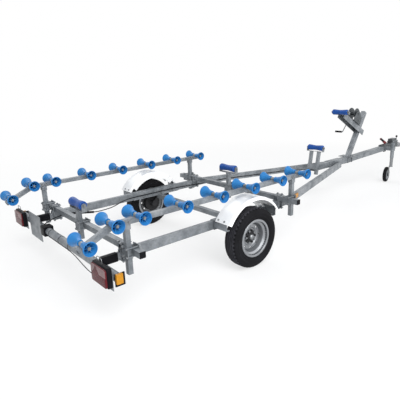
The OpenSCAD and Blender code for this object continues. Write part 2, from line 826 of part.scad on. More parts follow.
// Pin with a nut at each end
module pin_with_nuts(l) {
    nut_r = 13;
    nut_w = 11;
    over = 3;
    bar_y(pin_d / 2, l + 2 * (nut_w + over));
    for (e = SIDES) translate([0, e * (l + nut_w) / 2, 0]) rotate([90, 0, 0])
        cylinder(r = nut_r, h = nut_w, center = true, $fn = 6);
}

module roller_pins() {
    pair_len = 2 * (neck_y + cup_len - 30 + end_gap);
    keel_pin_len = 2 * keel_ear_y + keel_ear;
    color(galvanised) parked() {
        for (side = SIDES, spot = roller_spots)
            translate([spot[0], side * beam_y, spot[1]]) pin_with_nuts(pair_len);
        for (spot = keel_spots)
            translate([spot[0], 0, spot[1]]) pin_with_nuts(keel_pin_len);
        on_arm() translate([bow_spot[0], 0, bow_spot[1]]) pin_with_nuts(keel_pin_len);
    }
}

// Dark-blue roller with swollen ends, about the Y axis
module spool_roller() {
    end_r = keel_d / 2;
    waist = 7;
    half = keel_len / 2;
    bore_r = pin_d / 2 + run_gap;
    steps = 12;
    edge = [for (i = [0 : steps]) let (t = i / steps * 2 - 1)
        [end_r - waist * (1 + cos(180 * t)) / 2, t * (half - 10)]];
    profile = concat([[bore_r, -half], [end_r - 9, -half], [end_r - 3, -half + 4]], edge,
        [[end_r - 3, half - 4], [end_r - 9, half], [bore_r, half]]);
    color(dark_blue) rotate([-90, 0, 0]) rotate_extrude($fn = 64) polygon(profile);
}

module keel_roller_at(i) parked() translate([keel_spots[i][0], 0, keel_spots[i][1]]) spool_roller();
module keel_roller_rear() keel_roller_at(0);
module keel_roller_mid() keel_roller_at(1);
module keel_roller_front() keel_roller_at(2);
module bow_roller() parked() on_arm() translate([bow_spot[0], 0, bow_spot[1]]) spool_roller();

// U-shaped roller bracket about a pin axis: two bored ears on a base
module roller_fork(drop) {
    ear_w = 44;
    difference() {
        union() {
            for (e = SIDES) translate([0, e * keel_ear_y, 0]) {
                bar_y(ear_w / 2, keel_ear);
                translate([0, 0, -drop / 2]) cube([ear_w, keel_ear, drop], center = true);
            }
            translate([0, 0, -drop + keel_ear / 2])
                cube([ear_w, 2 * keel_ear_y + keel_ear, keel_ear], center = true);
        }
        bar_y(pin_d / 2, 2 * keel_ear_y + 4 * keel_ear);
    }
}

// Brackets of the keel rollers: stems clamped to the cross tubes, and a pair that straddles the drawbar
module keel_brackets() {
    drop = keel_d / 2 + 16;
    stem_low = rail_bottom - 20;
    half = beam_side / 2;
    leg_y = bar_side / 2 + half + run_gap;
    plate = 8;
    // Heights along the leaning front pair, from the roller's axis: foot, rear plate and front strap
    leg_low = -(keel_rise + bar_side / 2 + 44) / cos(keel_lean);
    back_low = -(keel_rise + 20) / cos(keel_lean);
    back_top = -(keel_rise - bar_side / 2 - 20) / cos(keel_lean);
    strap_z = -(keel_rise - bar_side / 2 - 6) / cos(keel_lean);
    color(galvanised) parked() {
        for (spot = [keel_rear, keel_mid]) translate([spot[0], 0, 0]) {
            translate([0, 0, spot[1]]) roller_fork(drop);
            upright(stem_low, spot[1] - drop, beam_side, beam_side, tube_wall);
        }
        translate([keel_front[0], 0, keel_front[1]]) rotate([0, keel_lean, 0]) {
            roller_fork(drop);
            for (e = SIDES) translate([0, e * leg_y, 0])
                upright(leg_low, -drop, beam_side, beam_side, tube_wall);
            span([-half - plate, -leg_y - half, back_low], [-half, leg_y + half, back_top]);
            span([half, -leg_y - half, strap_z], [half + plate, leg_y + half, strap_z + plate]);
        }
    }
}

// Frame of the winch post: origin at its foot, Z along the post, X ahead
module on_winch_post() {
    translate([winch_foot[0], 0, winch_foot[1]]) rotate([0, post_lean, 0]) children();
}

// Frame of the winch arm: origin where it crosses the post, X along the arm
module on_arm() {
    translate([arm_spot[0], 0, arm_spot[1]]) rotate([0, arm_slope, 0]) children();
}

module winch_post() {
    plate_x = 150;
    plate_y = 236;
    sink = 80;
    bolt_r = 6;
    bolt_x = 58;
    bolt_y = bar_side / 2 + bolt_r + run_gap;
    bolt_over = 16;
    color(galvanised) parked() {
        difference() {
            on_winch_post() upright(-sink, winch_post_len, winch_post_d, winch_post_w, tube_wall);
            translate([winch_foot[0], 0, winch_foot[1] - sink])
                cube([8 * sink, 2 * winch_post_w, 2 * sink], center = true);
        }
        translate([winch_foot[0], 0, winch_foot[1] + foot_sheet / 2])
            cube([plate_x, plate_y, foot_sheet], center = true);
        for (x = [-bolt_x, bolt_x]) translate([winch_foot[0] + x, 0, winch_foot[1]]) {
            for (e = SIDES) translate([0, e * bolt_y, -bar_side - bolt_r - run_gap])
                cylinder(r = bolt_r, h = bar_side + bolt_r + foot_sheet + bolt_over);
            translate([0, 0, -bar_side - bolt_r - run_gap]) bar_y(bolt_r, 2 * bolt_y);
        }
    }
}

// Channel that the post passes through, with the bow roller's bracket on its rear end
module winch_arm() {
    back = arm_len + keel_ear / 2;
    color(galvanised) parked() difference() {
        on_arm() {
            difference() {
                span([-back, -arm_wide / 2, -arm_depth / 2], [arm_ahead, arm_wide / 2, arm_depth / 2]);
                span([-back - cut, -arm_wide / 2 + arm_sheet, -arm_depth / 2 - cut],
                    [arm_ahead + cut, arm_wide / 2 - arm_sheet, arm_depth / 2 - arm_sheet]);
            }
            translate([bow_spot[0], 0, bow_spot[1]]) rotate([0, -90, 0]) roller_fork(bow_drop);
        }
        on_winch_post() translate([0, 0, arm_at])
            cube([winch_post_d + 2 * run_gap, winch_post_w + 2 * run_gap, 8 * arm_depth], center = true);
    }
}

module winch_frame() {
    base_z = arm_depth / 2;
    outline = [[-316, base_z], [-104, base_z], [-112, crank_spot[1] + 26], [-192, drum_spot[1] + 42],
        [-262, drum_spot[1] + 42], [-294, drum_spot[1] - 10]];
    color("slategray") parked() on_arm() {
        difference() {
            for (e = SIDES) translate([0, e * frame_y, 0]) rotate([90, 0, 0])
                linear_extrude(frame_sheet, center = true) polygon(outline);
            translate([drum_spot[0], 0, drum_spot[1]]) bar_y(drum_shaft_r + run_gap, 4 * frame_y);
            translate([crank_spot[0], 0, crank_spot[1]]) bar_y(crank_shaft_r + run_gap, 4 * frame_y);
        }
        span([-316, -frame_y, base_z], [-104, frame_y, base_z + frame_sheet]);
    }
}

// Winch drum with its gear wheel
module winch_drum() {
    flange_y = 40;
    flange_t = 4;
    barrel_r = 26;
    teeth = 48;
    color("gray") parked() on_arm() translate([drum_spot[0], 0, drum_spot[1]]) {
        bar_y(drum_shaft_r, 2 * frame_y + 24);
        bar_y(barrel_r, 2 * gear_y);
        for (e = SIDES) translate([0, e * flange_y, 0]) bar_y(gear_r - 6, flange_t);
        translate([0, gear_y, 0]) rotate([90, 0, 0])
            cylinder(r = gear_r, h = gear_w, center = true, $fn = 2 * teeth);
    }
}

// Crank with its pinion; the grip turns with it
module winch_crank() {
    boss_len = 24;
    boss = 15;
    inner = -frame_y - 10;
    outer = crank_y + boss_len / 2;
    color("silver") parked() on_arm() translate([crank_spot[0], 0, crank_spot[1]]) {
        translate([0, (inner + outer) / 2, 0]) bar_y(crank_shaft_r, outer - inner);
        translate([0, gear_y, 0]) bar_y(pinion_r, gear_w);
        rotate([0, crank_swing, 0]) translate([0, crank_y, 0]) {
            translate([0, 0, -crank_len]) cylinder(r = crank_rod_r, h = crank_len);
            bar_y(boss, boss_len);
            translate([0, 0, -crank_len]) sphere(r = crank_rod_r);
            translate([0, (grip_len + 12) / 2, -crank_len]) bar_y(crank_rod_r, grip_len + 12);
        }
    }
}

module crank_grip() {
    color(black) parked() on_arm() translate([crank_spot[0], 0, crank_spot[1]])
        rotate([0, crank_swing, 0]) translate([0, crank_y + 12 + grip_len / 2, -crank_len]) difference() {
            bar_y(grip_r, grip_len - 6);
            bar_y(crank_rod_r + cap_fit, grip_len);
        }
}

// Frame of the coupling: origin in the drawbar's front end, X along its slope
module at_nose() {
    translate([bar_end, 0, nose_z]) rotate([0, -bar_angle, 0]) children();
}

// Frame of the handbrake lever: origin at its pivot, Z along the lever
module along_lever() {
    translate([lever_base[0], lever_y, lever_base[1]]) rotate([0, lever_slope - 90, 0]) children();
}

// Cast housing of the overrun coupling, bolted on the drawbar's end
module coupling_body() {
    flange_t = 18;
    flange_back = 150;
    tube_r = 36;
    step = 40;
    bolt_r = 9;
    bolt_h = 8;
    color("slategray") parked() at_nose() {
        span([-flange_back, -body_w / 2, bar_side / 2 + run_gap],
            [body_x[0] + cut, body_w / 2, bar_side / 2 + flange_t]);
        translate([run_gap, 0, 14]) rotate([0, 90, 0]) cylinder(r = tube_r, h = body_x[0]);
        span([body_x[0], -body_w / 2, body_z[0]], [body_x[1], body_w / 2, body_z[1] - step]);
        span([body_x[0], -body_w / 2 + 10, body_z[1] - step], [body_x[1] - 50, body_w / 2 - 10, body_z[1]]);
        for (x = [-flange_back + 30, -flange_back + 100], e = SIDES)
            translate([x, e * (body_w / 2 - 16), bar_side / 2 + flange_t]) cylinder(r = bolt_r, h = bolt_h);
    }
}

module coupling_head() {
    shaft_r = 22;
    shaft_z = -12;
    top_r = 34;
    bevel = 18;
    color("silver") parked() at_nose() difference() {
        union() {
            translate([body_x[1], 0, shaft_z]) rotate([0, 90, 0]) cylinder(r = shaft_r, h = ball_x - body_x[1]);
            translate([ball_x, 0, head_z[0]]) cylinder(r = head_r, h = head_z[1] - head_z[0] - bevel);
            translate([ball_x, 0, head_z[1] - bevel]) cylinder(r1 = head_r, r2 = top_r, h = bevel);
            translate([handle_x, 0, shaft_z]) cylinder(r = handle_r, h = head_z[1] - shaft_z + handle_len);
        }
        translate([ball_x, 0, head_z[0] - cut]) cylinder(r = ball_r, h = socket_len + cut);
        translate([ball_x, 0, head_z[0] + socket_len]) cylinder(r1 = ball_r, r2 = 8, h = 12);
    }
}

module handbrake_lever() {
    pivot_r = 24;
    color("firebrick") parked() at_nose() along_lever() {
        span([-lever_w / 2, -lever_t / 2, 0], [lever_w / 2, lever_t / 2, lever_len]);
        bar_y(pivot_r, lever_t);
    }
}

// Outer tube of the jockey wheel with its clamp on the drawbar
module jockey_tube() {
    clamp_x = 64;
    clamp_h = 60;
    clamp_r = jockey_tube_d / 2 + 9;
    clamp_z = bar_z + bar_rise * (jockey_x - bar_bend) / (bar_end - bar_bend);
    knob_len = 70;
    bar_face = -bar_side / 2 - run_gap;
    color(galvanised) parked() difference() {
        union() {
            translate([jockey_x, jockey_y, jockey_tube_z[0]])
                cylinder(d = jockey_tube_d, h = jockey_tube_z[1] - jockey_tube_z[0]);
            translate([jockey_x, jockey_y, clamp_z - clamp_h / 2]) cylinder(r = clamp_r, h = clamp_h);
            span([jockey_x - clamp_x / 2, jockey_y, clamp_z - clamp_h / 2],
                [jockey_x + clamp_x / 2, bar_face, clamp_z + clamp_h / 2]);
            translate([jockey_x, jockey_y, clamp_z]) rotate([0, 90, 0]) cylinder(r = 7, h = clamp_r + knob_len);
            translate([jockey_x, jockey_y, jockey_tube_z[1] - cut]) cylinder(r = 9, h = 34);
            translate([jockey_x, jockey_y, jockey_tube_z[1] + 26]) rotate([0, 90, 0]) cylinder(r = 6, h = 120);
        }
        translate([jockey_x, jockey_y, jockey_tube_z[0] - cut])
            cylinder(d = leg_d + 2 * run_gap, h = jockey_tube_z[1] - jockey_tube_z[0] - jockey_cap + cut);
    }
}

module jockey_leg() {
    color("silver") parked() translate([jockey_x, jockey_y, fork_top])
        cylinder(d = leg_d, h = jockey_tube_z[0] + leg_in - fork_top);
}

// Turned frame of the jockey fork: origin on the swivel axis, at the wheel axle's height
module at_fork() {
    parked() translate([jockey_x, jockey_y, jockey_axle_z]) rotate([0, 0, jockey_turn]) children();
}

module jockey_fork() {
    top = fork_top - end_gap - jockey_axle_z;
    plate_y = jockey_side - jockey_w / 2 - clear - fork_sheet;
    plate_half = 21;
    nut = 8;
    axle_end = jockey_side + jockey_w / 2 + 4;
    color("silver") at_fork() {
        translate([0, 0, top - fork_disc]) cylinder(d = jockey_tube_d, h = fork_disc);
        span([-plate_half, plate_y, 0], [plate_half, plate_y + fork_sheet, top]);
        translate([0, plate_y + fork_sheet / 2, 0]) bar_y(plate_half, fork_sheet);
        translate([0, (plate_y - nut + axle_end) / 2, 0]) bar_y(jockey_axle_r, axle_end - plate_y + nut);
    }
}

module jockey_wheel() {
    bore_r = jockey_axle_r + run_gap;
    half = jockey_w / 2;
    color(black) at_fork() translate([0, jockey_side, 0]) rotate([-90, 0, 0]) rotate_extrude($fn = 64)
        polygon([[bore_r, -half], [30, -half], [34, -half + 8], [jockey_r - 40, -half + 8],
            [jockey_r - 26, -half], [jockey_r - 8, -half + 6], [jockey_r, -half + jockey_edge],
            [jockey_r, half - jockey_edge], [jockey_r - 8, half - 6], [jockey_r - 26, half],
            [jockey_r - 40, half - 8], [34, half - 8], [30, half], [bore_r, half]]);
}

// Round bar behind the frame, on two arms that slide into the ends of the rails
module light_bar() {
    wall = 3;
    arm_over = 22;
    arm_x = [-light_back - arm_over, -rail_back + light_arm_in];
    color(galvanised) parked() {
        translate([-light_back, light_shift, light_z]) difference() {
            bar_y(light_bar_d / 2, 2 * lamp_y + lamp_w);
            bar_y(light_bar_d / 2 - wall, 2 * lamp_y + lamp_w + 2 * cut);
        }
        for (side = SIDES) translate([(arm_x[0] + arm_x[1]) / 2, side * rail_y, light_arm_z]) rotate([0, 0, 90])
            cross_tube(arm_x[1] - arm_x[0], light_arm_w, light_arm_h, wall);
    }
}

// Housings of the rear lamps, the bases of the bar's amber lamps and the clamp block on the light bar
module lamp_bodies() {
    color(black) parked() {
        for (y = [left_lamp_y, right_lamp_y])
            span([lamp_back, y - lamp_w / 2, lamp_z - lamp_h / 2],
                [lamp_seat, y + lamp_w / 2, lamp_z + lamp_h / 2]);
        on_light_ends() translate([base_shift[0], bar_marker_base[2] / 2, base_shift[1]])
            cube([bar_marker_base[0], bar_marker_base[2], bar_marker_base[1]], center = true);
        translate([-light_back, block_y, light_z]) difference() {
            cube(block, center = true);
            bar_y(light_bar_d / 2 + run_gap, 2 * block[1]);
        }
    }
}

// Places children on both ends of the light bar, with +Y outwards
module on_light_ends() {
    for (side = SIDES) translate([-light_back, light_shift, light_z]) on_side(side)
        translate([0, light_half, 0]) children();
}

module lamp_lenses() {
    half_w = lamp_w / 2 - lens_border / 2;
    half_h = lamp_h / 2 - lens_border;
    color("firebrick") parked() for (y = [left_lamp_y, right_lamp_y])
        span([lamp_back - lens_depth, y - half_w, lamp_z - half_h], [lamp_back, y + half_w, lamp_z + half_h]);
}

// Flat plates on the light bar that carry the lamps
module lamp_plates() {
    color(galvanised) parked() for (p = plate_table)
        span([lamp_seat, p[0], p[2]], [lamp_front, p[1], p[3]]);
}

// Amber lamps on the legs and on the ends of the light bar
module side_markers() {
    along = 150;
    rise = 12;
    color("orange") parked() {
        for (side = SIDES) on_side(side) translate([rail_bend, rail_y, rail_z]) rotate([0, 0, -leg_turn])
            translate([along, (rail_w + marker_t) / 2 + run_gap, rise])
                cube([marker_w, marker_t, marker_h], center = true);
        on_light_ends() translate([0, bar_marker_base[2] + bar_marker[2] / 2, 0])
            cube([bar_marker[0], bar_marker[2], bar_marker[1]], center = true);
    }
}

// Direction of a path through points in space, at point i
function run_dir(points, i) =
    let (n = len(points) - 1)
    unit(unit(points[min(i + 1, n)] - points[min(i, n - 1)]) + unit(points[max(i, 1)] - points[max(i - 1, 0)]));

// Cord through a row of points, as one loft of round sections
module cord(points, r) {
    sides = 12;
    last = len(points) - 1;
    sections = [for (i = [0 : last], k = [0 : sides - 1])
        let (t = run_dir(points, i), across = unit(cross([0, 0, 1], t)), over = cross(t, across),
            w = k * 360 / sides)
        points[i] + r * (cos(w) * across + sin(w) * over)];
    skin = [for (i = [0 : last - 1], k = [0 : sides - 1])
        let (m = (k + 1) % sides)
        [i * sides + k, (i + 1) * sides + k, (i + 1) * sides + m, i * sides + m]];
    ends = [[for (k = [0 : sides - 1]) k], [for (k = [sides - 1 : -1 : 0]) last * sides + k]];
    polyhedron(sections, concat(skin, ends));
}

// Lighting cable from the light bar along the left rail, under the drawbar and to the coupling
module wiring() {
    leg_in = [for (t = [0.12, 0.62]) [rail_bend + t * (leg_end - rail_bend),
        rail_y + t * (leg_end_y - rail_y) - (rail_w / 2 + cable_gap) / cos(leg_turn)]];
    low = bar_z - sleeve_side / 2 - cable_gap;
    under = winch_foot[1] - bar_side - 12 - cable_gap - run_gap;
    nose_x = [bar_bend + 90, bar_end - 40];
    nose_low = [for (x = nose_x) bar_z - bar_side / 2 + (x - bar_bend) * tan(bar_angle) - cable_gap];
    points = [
        [-light_back, block_y + 68, light_z + light_bar_d / 2 + cable_gap],
        [-light_back + 50, block_y + 98, light_z + light_bar_d / 2 + 12],
        [rear_cross_x - 50, block_y + 143, rail_z - 14],
        [rear_cross_x + 70, cable_y, rail_z - 8],
        [-980, cable_y, rail_bottom + 6],
        [-800, cable_y, rail_bottom - 26],
        [-620, cable_y, rail_bottom - 18],
        [-450, cable_y, rail_z - 6],
        [-320, cable_y, rail_z],
        [320, cable_y, rail_z],
        [rail_bend - 120, cable_y, rail_bottom + 20],
        [leg_in[0][0], leg_in[0][1], rail_z - 10],
        [leg_in[1][0], leg_in[1][1], rail_z - 10],
        [bar_start + 180, 30, low - 6],
        [sleeve_x[0], 0, low],
        [sleeve_x[1], 0, low],
        [winch_foot[0] - 80, 0, under],
        [winch_foot[0] + 80, 0, under],
        [nose_x[0], 0, nose_low[0]],
        [nose_x[1], 0, nose_low[1]]
    ];
    color(black) parked() cord(points, cable_r);
}

side_rails();
cross_members();
end_caps();
drawbar();
apex_sleeve();
axle_beam();
axle_saddles();
swing_arms();
mudguards();
guard_brackets();
hub_left();
hub_right();
rim_left();
rim_right();
tyre_left();
tyre_right();
roller_beams();
beam_posts();
post_clamps();
roller_pins();
roller_left_1();
roller_left_2();
roller_left_3();
roller_left_4();
roller_left_5();
roller_left_6();
roller_left_7();
roller_left_8();
roller_right_1();
roller_right_2();
roller_right_3();
roller_right_4();
roller_right_5();
roller_right_6();
roller_right_7();
roller_right_8();
keel_brackets();
keel_roller_rear();
keel_roller_mid();
keel_roller_front();
winch_post();
winch_arm();
winch_frame();
winch_drum();
winch_crank();
crank_grip();
bow_roller();
coupling_body();
coupling_head();
handbrake_lever();
jockey_tube();
jockey_leg();
jockey_fork();
jockey_wheel();
light_bar();
lamp_bodies();
lamp_lenses();
lamp_plates();
side_markers();
wiring();
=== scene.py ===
"""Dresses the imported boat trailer: finishes for its parts, fine detail, and a plain studio."""

import json
import math

import bmesh
import bpy
from bpy.props import FloatProperty, FloatVectorProperty, IntProperty, PointerProperty
from mathutils import Matrix, Vector


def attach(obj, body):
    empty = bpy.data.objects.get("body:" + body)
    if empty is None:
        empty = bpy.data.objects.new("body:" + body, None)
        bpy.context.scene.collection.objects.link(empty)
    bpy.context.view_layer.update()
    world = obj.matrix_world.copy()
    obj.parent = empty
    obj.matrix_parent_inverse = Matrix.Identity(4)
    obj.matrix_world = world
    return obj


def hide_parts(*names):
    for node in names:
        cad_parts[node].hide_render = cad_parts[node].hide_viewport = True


bl_info = {
    "name": "Boat trailer",
    "version": (1, 0, 0),
    "blender": (4, 5, 0),
    "location": "View3D > Sidebar > Trailer",
    "description": "Adds finishes, fine detail and a studio to the packed boat trailer",
    "category": "Object",
}

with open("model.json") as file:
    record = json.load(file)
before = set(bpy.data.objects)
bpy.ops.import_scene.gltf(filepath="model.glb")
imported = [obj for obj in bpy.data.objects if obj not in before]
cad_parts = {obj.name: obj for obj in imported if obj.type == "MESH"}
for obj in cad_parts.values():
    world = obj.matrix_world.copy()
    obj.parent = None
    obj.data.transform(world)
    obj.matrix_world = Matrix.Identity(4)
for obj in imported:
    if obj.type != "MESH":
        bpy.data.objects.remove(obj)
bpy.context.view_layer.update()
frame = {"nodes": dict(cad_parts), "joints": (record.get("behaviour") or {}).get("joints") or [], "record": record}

JOINTS = {joint["name"]: joint for joint in frame["joints"]}
SIDES = ("left", "right")
OUTWARD = {"left": 1, "right": -1}
ROLLER_PAIRS = range(1, 9)


def pivot(joint):
    """The point that a joint turns about."""
    return Vector(JOINTS[joint]["pos_m"])


WHEELS = {side: pivot(f"{side}_wheel_spin") for side in SIDES}
AXLE_MIDDLE = (WHEELS["left"] + WHEELS["right"]) / 2
LIFT_AXIS = Vector(JOINTS["jockey_lift"]["axis"])
NOSE_UP = math.atan2(-LIFT_AXIS.x, LIFT_AXIS.z)
# Takes the level chassis, with x from the wheel centres, to the parked trailer
CHASSIS = (
    Matrix.Translation(AXLE_MIDDLE)
    @ Matrix.Rotation(-NOSE_UP, 4, "Y")
    @ Matrix.Translation((0, 0, -AXLE_MIDDLE.z))
)

# Places and sizes on the level chassis, in metres
RAIL_Y = 0.690
RAIL_HALF = Vector((0, 0.020, 0.040))
RAIL_Z = 0.447
SLEEVE_WALL = 0.005
CROSS_SIDE = 0.050
CROSS_XS = (-1.229, 0.606)
CROSS_Z = RAIL_Z + RAIL_HALF.z + CROSS_SIDE / 2
BEAM_Y = 0.825
BEAM_SIDE = 0.040
BEAM_Z = 0.746
POST_STAND_OFF = CROSS_SIDE / 2 + BEAM_SIDE / 2

WHEEL_R = 0.289
GUARD_R = 0.388
GUARD_EDGE_Y = 0.930
GUARD_ANGLES = (31.5, 148.5)

BAR_Z = 0.477
BAR_HALF = 0.040
WINCH_FOOT = Vector((3.179, 0, BAR_Z + BAR_HALF))
FOOT_SHEET = 0.008
POST_LEAN = math.radians(31.4)
POST_HALF = Vector((0.035, 0.030, 0))
NOSE = Vector((4.421, 0, 0.508))
NOSE_SLOPE = math.radians(1.57)
COUPLING_HALF = 0.048
LEVER_PIVOT = Vector((0.203, 0.0533, 0.017))
LEVER_SLOPE = math.radians(27)

LAMP_YS = (1.040, -0.780)
LAMP_Z = 0.387
LAMP_BACK = -1.494
LAMP_SIZE = Vector((0.044, 0.230, 0.158))
LENS_SIZE = Vector((0.014, 0.221, 0.140))
LIGHT_BAR = Vector((-1.411, 0.130, 0.377))
LIGHT_BAR_R = 0.035
LIGHT_BAR_HALF = 1.025
LIGHT_BLOCK = Vector((0.094, 0.100, 0.094))
LIGHT_BLOCK_Y = 0.477
LIGHT_ARM = Vector((0.137, 0.0334, 0.060))
LIGHT_ARM_MIDDLE = Vector((-1.3685, RAIL_Y, 0.4403))
MARKER_BASE = Vector((0.080, 0.010, 0.100))
MARKER_SHIFT = Vector((0.012, 0, -0.014))

CABLE_D = 0.010
# Route of the cable along the chassis, from the light bar to the nose
CABLE_ROUTE = (
    (-1.411, 0.545, 0.417),
    (-1.361, 0.575, 0.424),
    (-1.279, 0.620, 0.433),
    (-1.159, 0.6517, 0.439),
    (-0.980, 0.6517, 0.413),
    (-0.800, 0.6517, 0.381),
    (-0.620, 0.6517, 0.389),
    (-0.450, 0.6517, 0.441),
    (-0.320, 0.6517, 0.447),
    (0.320, 0.6517, 0.447),
    (0.681, 0.6517, 0.427),
    (1.048, 0.5885, 0.437),
    (2.078, 0.2757, 0.437),
    (2.417, 0.030, 0.4207),
    (2.601, 0, 0.4267),
    (2.961, 0, 0.4267),
    (3.099, 0, 0.4194),
    (3.259, 0, 0.4194),
    (3.380, 0, 0.4342),
    (4.381, 0, 0.4616),
)
LEAD_D = 0.007
# Route of the near lamp's lead, from the light bar's block to the lamp's housing
LEAD_ROUTE = (
    (-1.4382, 0.430, 0.3498),
    (-1.4382, 0.300, 0.3498),
    (-1.4382, 0.120, 0.3498),
    (-1.4382, -0.110, 0.3498),
    (-1.440, -0.230, 0.340),
    (-1.443, -0.350, 0.316),
    (-1.447, -0.470, 0.300),
    (-1.455, -0.570, 0.305),
    (-1.466, -0.640, 0.330),
    (-1.471, -0.680, 0.345),
)


class TrailerSizes(bpy.types.PropertyGroup):
    """Sizes of the detail that is added to the trailer, and the camera's place."""

    tread_depth: FloatProperty(
        name="Tread depth", description="Depth of the tyre's grooves", default=0.008, unit="LENGTH"
    )
    tread_blocks: IntProperty(name="Tread blocks", description="Shoulder blocks round one tyre", default=46)
    rib_count: IntProperty(name="Roller ribs", description="Ribs inside one flared roller", default=6)
    nut_radius: FloatProperty(
        name="Nut radius",
        description="Radius of the clamp nuts over their corners",
        default=0.0115,
        unit="LENGTH",
    )
    weld_radius: FloatProperty(
        name="Weld radius", description="Half the width of a weld bead", default=0.0035, unit="LENGTH"
    )
    lens: FloatProperty(name="Lens", description="Focal length for a 36 mm sensor", default=35.82)
    camera_offset: FloatVectorProperty(
        name="Camera offset",
        description="Camera place from the ground under the axle's middle",
        default=(-2.6204, -3.2450, 1.6201),
        subtype="XYZ",
        unit="LENGTH",
    )
    camera_yaw: FloatProperty(
        name="Camera yaw", description="Heading of the view", default=0.87031, subtype="ANGLE"
    )
    camera_pitch: FloatProperty(
        name="Camera pitch", description="Tilt of the view", default=-0.26857, subtype="ANGLE"
    )
    camera_roll: FloatProperty(
        name="Camera roll", description="Roll of the view", default=-0.01878, subtype="ANGLE"
    )


def colour_property(name, description, default):
    """A colour that the panel shows."""
    return FloatVectorProperty(
        name=name, description=description, default=default, size=3, subtype="COLOR", min=0, max=1
    )


class TrailerColours(bpy.types.PropertyGroup):
    """Colours of the trailer's finishes."""

    zinc: colour_property("Zinc", "Galvanised tubes", (0.236, 0.252, 0.268))
    bright: colour_property("Bright zinc", "Pins, nuts and small fittings", (0.25, 0.26, 0.27))
    flared_blue: colour_property("Flared blue", "Flared rollers", (0.022, 0.175, 0.45))
    keel_blue: colour_property("Keel blue", "Keel and bow rollers", (0.007, 0.062, 0.275))
    rubber: colour_property("Rubber", "Tyres", (0.006, 0.006, 0.007))
    rim: colour_property("Rim silver", "Rims", (0.27, 0.28, 0.295))
    iron: colour_property("Iron", "Brake drums and hubs", (0.016, 0.016, 0.018))
    guard: colour_property("Guard white", "Mudguards", (0.88, 0.885, 0.89))
    black: colour_property("Black plastic", "Caps, housings, cable and grips", (0.006, 0.006, 0.008))
    red: colour_property("Lens red", "Rear lamps", (0.095, 0.010, 0.014))
    clear: colour_property("Lens clear", "Clear fields of the rear lamps", (0.25, 0.16, 0.16))
    amber: colour_property("Amber", "Side lamps", (0.46, 0.20, 0.016))
    winch: colour_property("Winch grey", "Winch and coupling", (0.075, 0.085, 0.092))
    brake: colour_property("Brake red", "Handbrake lever", (0.24, 0.035, 0.04))
    floor: colour_property("Floor", "Studio floor", (0.90, 0.90, 0.90))


# Meshes

# Degrees from which an edge is drawn sharp
SMOOTH_ANGLE = 40


def add_object(name, mesh_maker, materials, smooth_angle=SMOOTH_ANGLE):
    """A new object whose mesh comes from a bmesh that mesh_maker fills."""
    mesh = bpy.data.meshes.new(name)
    bm = bmesh.new()
    mesh_maker(bm)
    bmesh.ops.recalc_face_normals(bm, faces=bm.faces)
    bm.to_mesh(mesh)
    bm.free()
    for material in materials:
        mesh.materials.append(material)
    mesh.shade_smooth()
    mesh.set_sharp_from_angle(angle=math.radians(smooth_angle))
    piece = bpy.data.objects.new(name, mesh)
    bpy.context.scene.collection.objects.link(piece)
    return piece


def add_piece(name, mesh_maker, body, slot, replaced=(), finishes=(), smooth_angle=SMOOTH_ANGLE):
    """A new object that rides on a body, with its finish and the nodes that it stands for."""
    materials = [finish_of(finish) for finish in finishes or (slot,)]
    piece = add_object(name, mesh_maker, materials, smooth_angle)
    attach(piece, body)
    if replaced:
        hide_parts(*replaced)
    return piece


def lathe(bm, profile, matrix, segments=48, radius_of=None, closed=True):
    """Turns a profile of (radius, y) points about the Y axis; radius_of may change a radius by turn."""
    rings = []
    for i in range(segments):
        angle = 2 * math.pi * i / segments
        ring = []
        for k, (r, y) in enumerate(profile):
            r = radius_of(i, k, r) if radius_of else r
            ring.append(bm.verts.new(matrix @ Vector((r * math.cos(angle), y, r * math.sin(angle)))))
        rings.append(ring)
    count = len(profile) if closed else len(profile) - 1
    for i, ring in enumerate(rings):
        following = rings[(i + 1) % segments]
        for k in range(count):
            n = (k + 1) % len(profile)
            bm.faces.new((ring[k], ring[n], following[n], following[k]))


def loft(bm, rings):
    """A closed solid through rings that have the same number of points."""
    made = [[bm.verts.new(point) for point in ring] for ring in rings]
    bm.faces.new(made[0])
    bm.faces.new(made[-1])
    for low, high in zip(made, made[1:]):
        for i in range(len(low)):
            n = (i + 1) % len(low)
            bm.faces.new((low[i], low[n], high[n], high[i]))


def circle(radius, sides, z=0.0):
    """Corners of a regular polygon about Z."""
    angles = (2 * math.pi * k / sides for k in range(sides))
    return [Vector((radius * math.cos(a), radius * math.sin(a), z)) for a in angles]


def prism(bm, outline, depth, matrix):
    """A solid of the given depth on an outline of (x, y) points, along Z."""
    loft(bm, [[matrix @ Vector((x, y, z)) for x, y in outline] for z in (0, depth)])


def facing(point, direction):
    """A matrix that puts the origin at a point and turns Z to a direction."""
    turn = Vector(direction).to_track_quat("Z", "Y").to_matrix().to_4x4()
    return Matrix.Translation(point) @ turn


def hex_nut(bm, point, direction, radius, height, flat=0.8, top=0.84):
    """A six-sided nut with a turned-down top, standing on a point."""
    matrix = facing(point, direction)
    sections = ((radius, 0), (radius, flat * height), (top * radius, height))
    loft(bm, [[matrix @ corner for corner in circle(r, 6, z)] for r, z in sections])


def tube(bm, points, radius, sides=8):
    """A round tube with closed ends; radius is a number, or a function of a point's index."""
    points = [Vector(p) for p in points]
    rings = []
    for i, point in enumerate(points):
        back = points[max(i - 1, 0)]
        ahead = points[min(i + 1, len(points) - 1)]
        turn = (ahead - back).to_track_quat("Z", "Y").to_matrix()
        r = radius(i) if callable(radius) else radius
        rings.append([point + turn @ corner for corner in circle(r, sides)])
    loft(bm, rings)


def wheel_matrix(side):
    """Puts a wheel drawn with +Y outwards in its place."""
    turn = Matrix.Identity(4) if side == "left" else Matrix.Rotation(math.pi, 4, "Z")
    return Matrix.Translation(WHEELS[side]) @ turn


def on_chassis(x, y, z):
    """A point of the level chassis on the parked trailer."""
    return CHASSIS @ Vector((x, y, z))


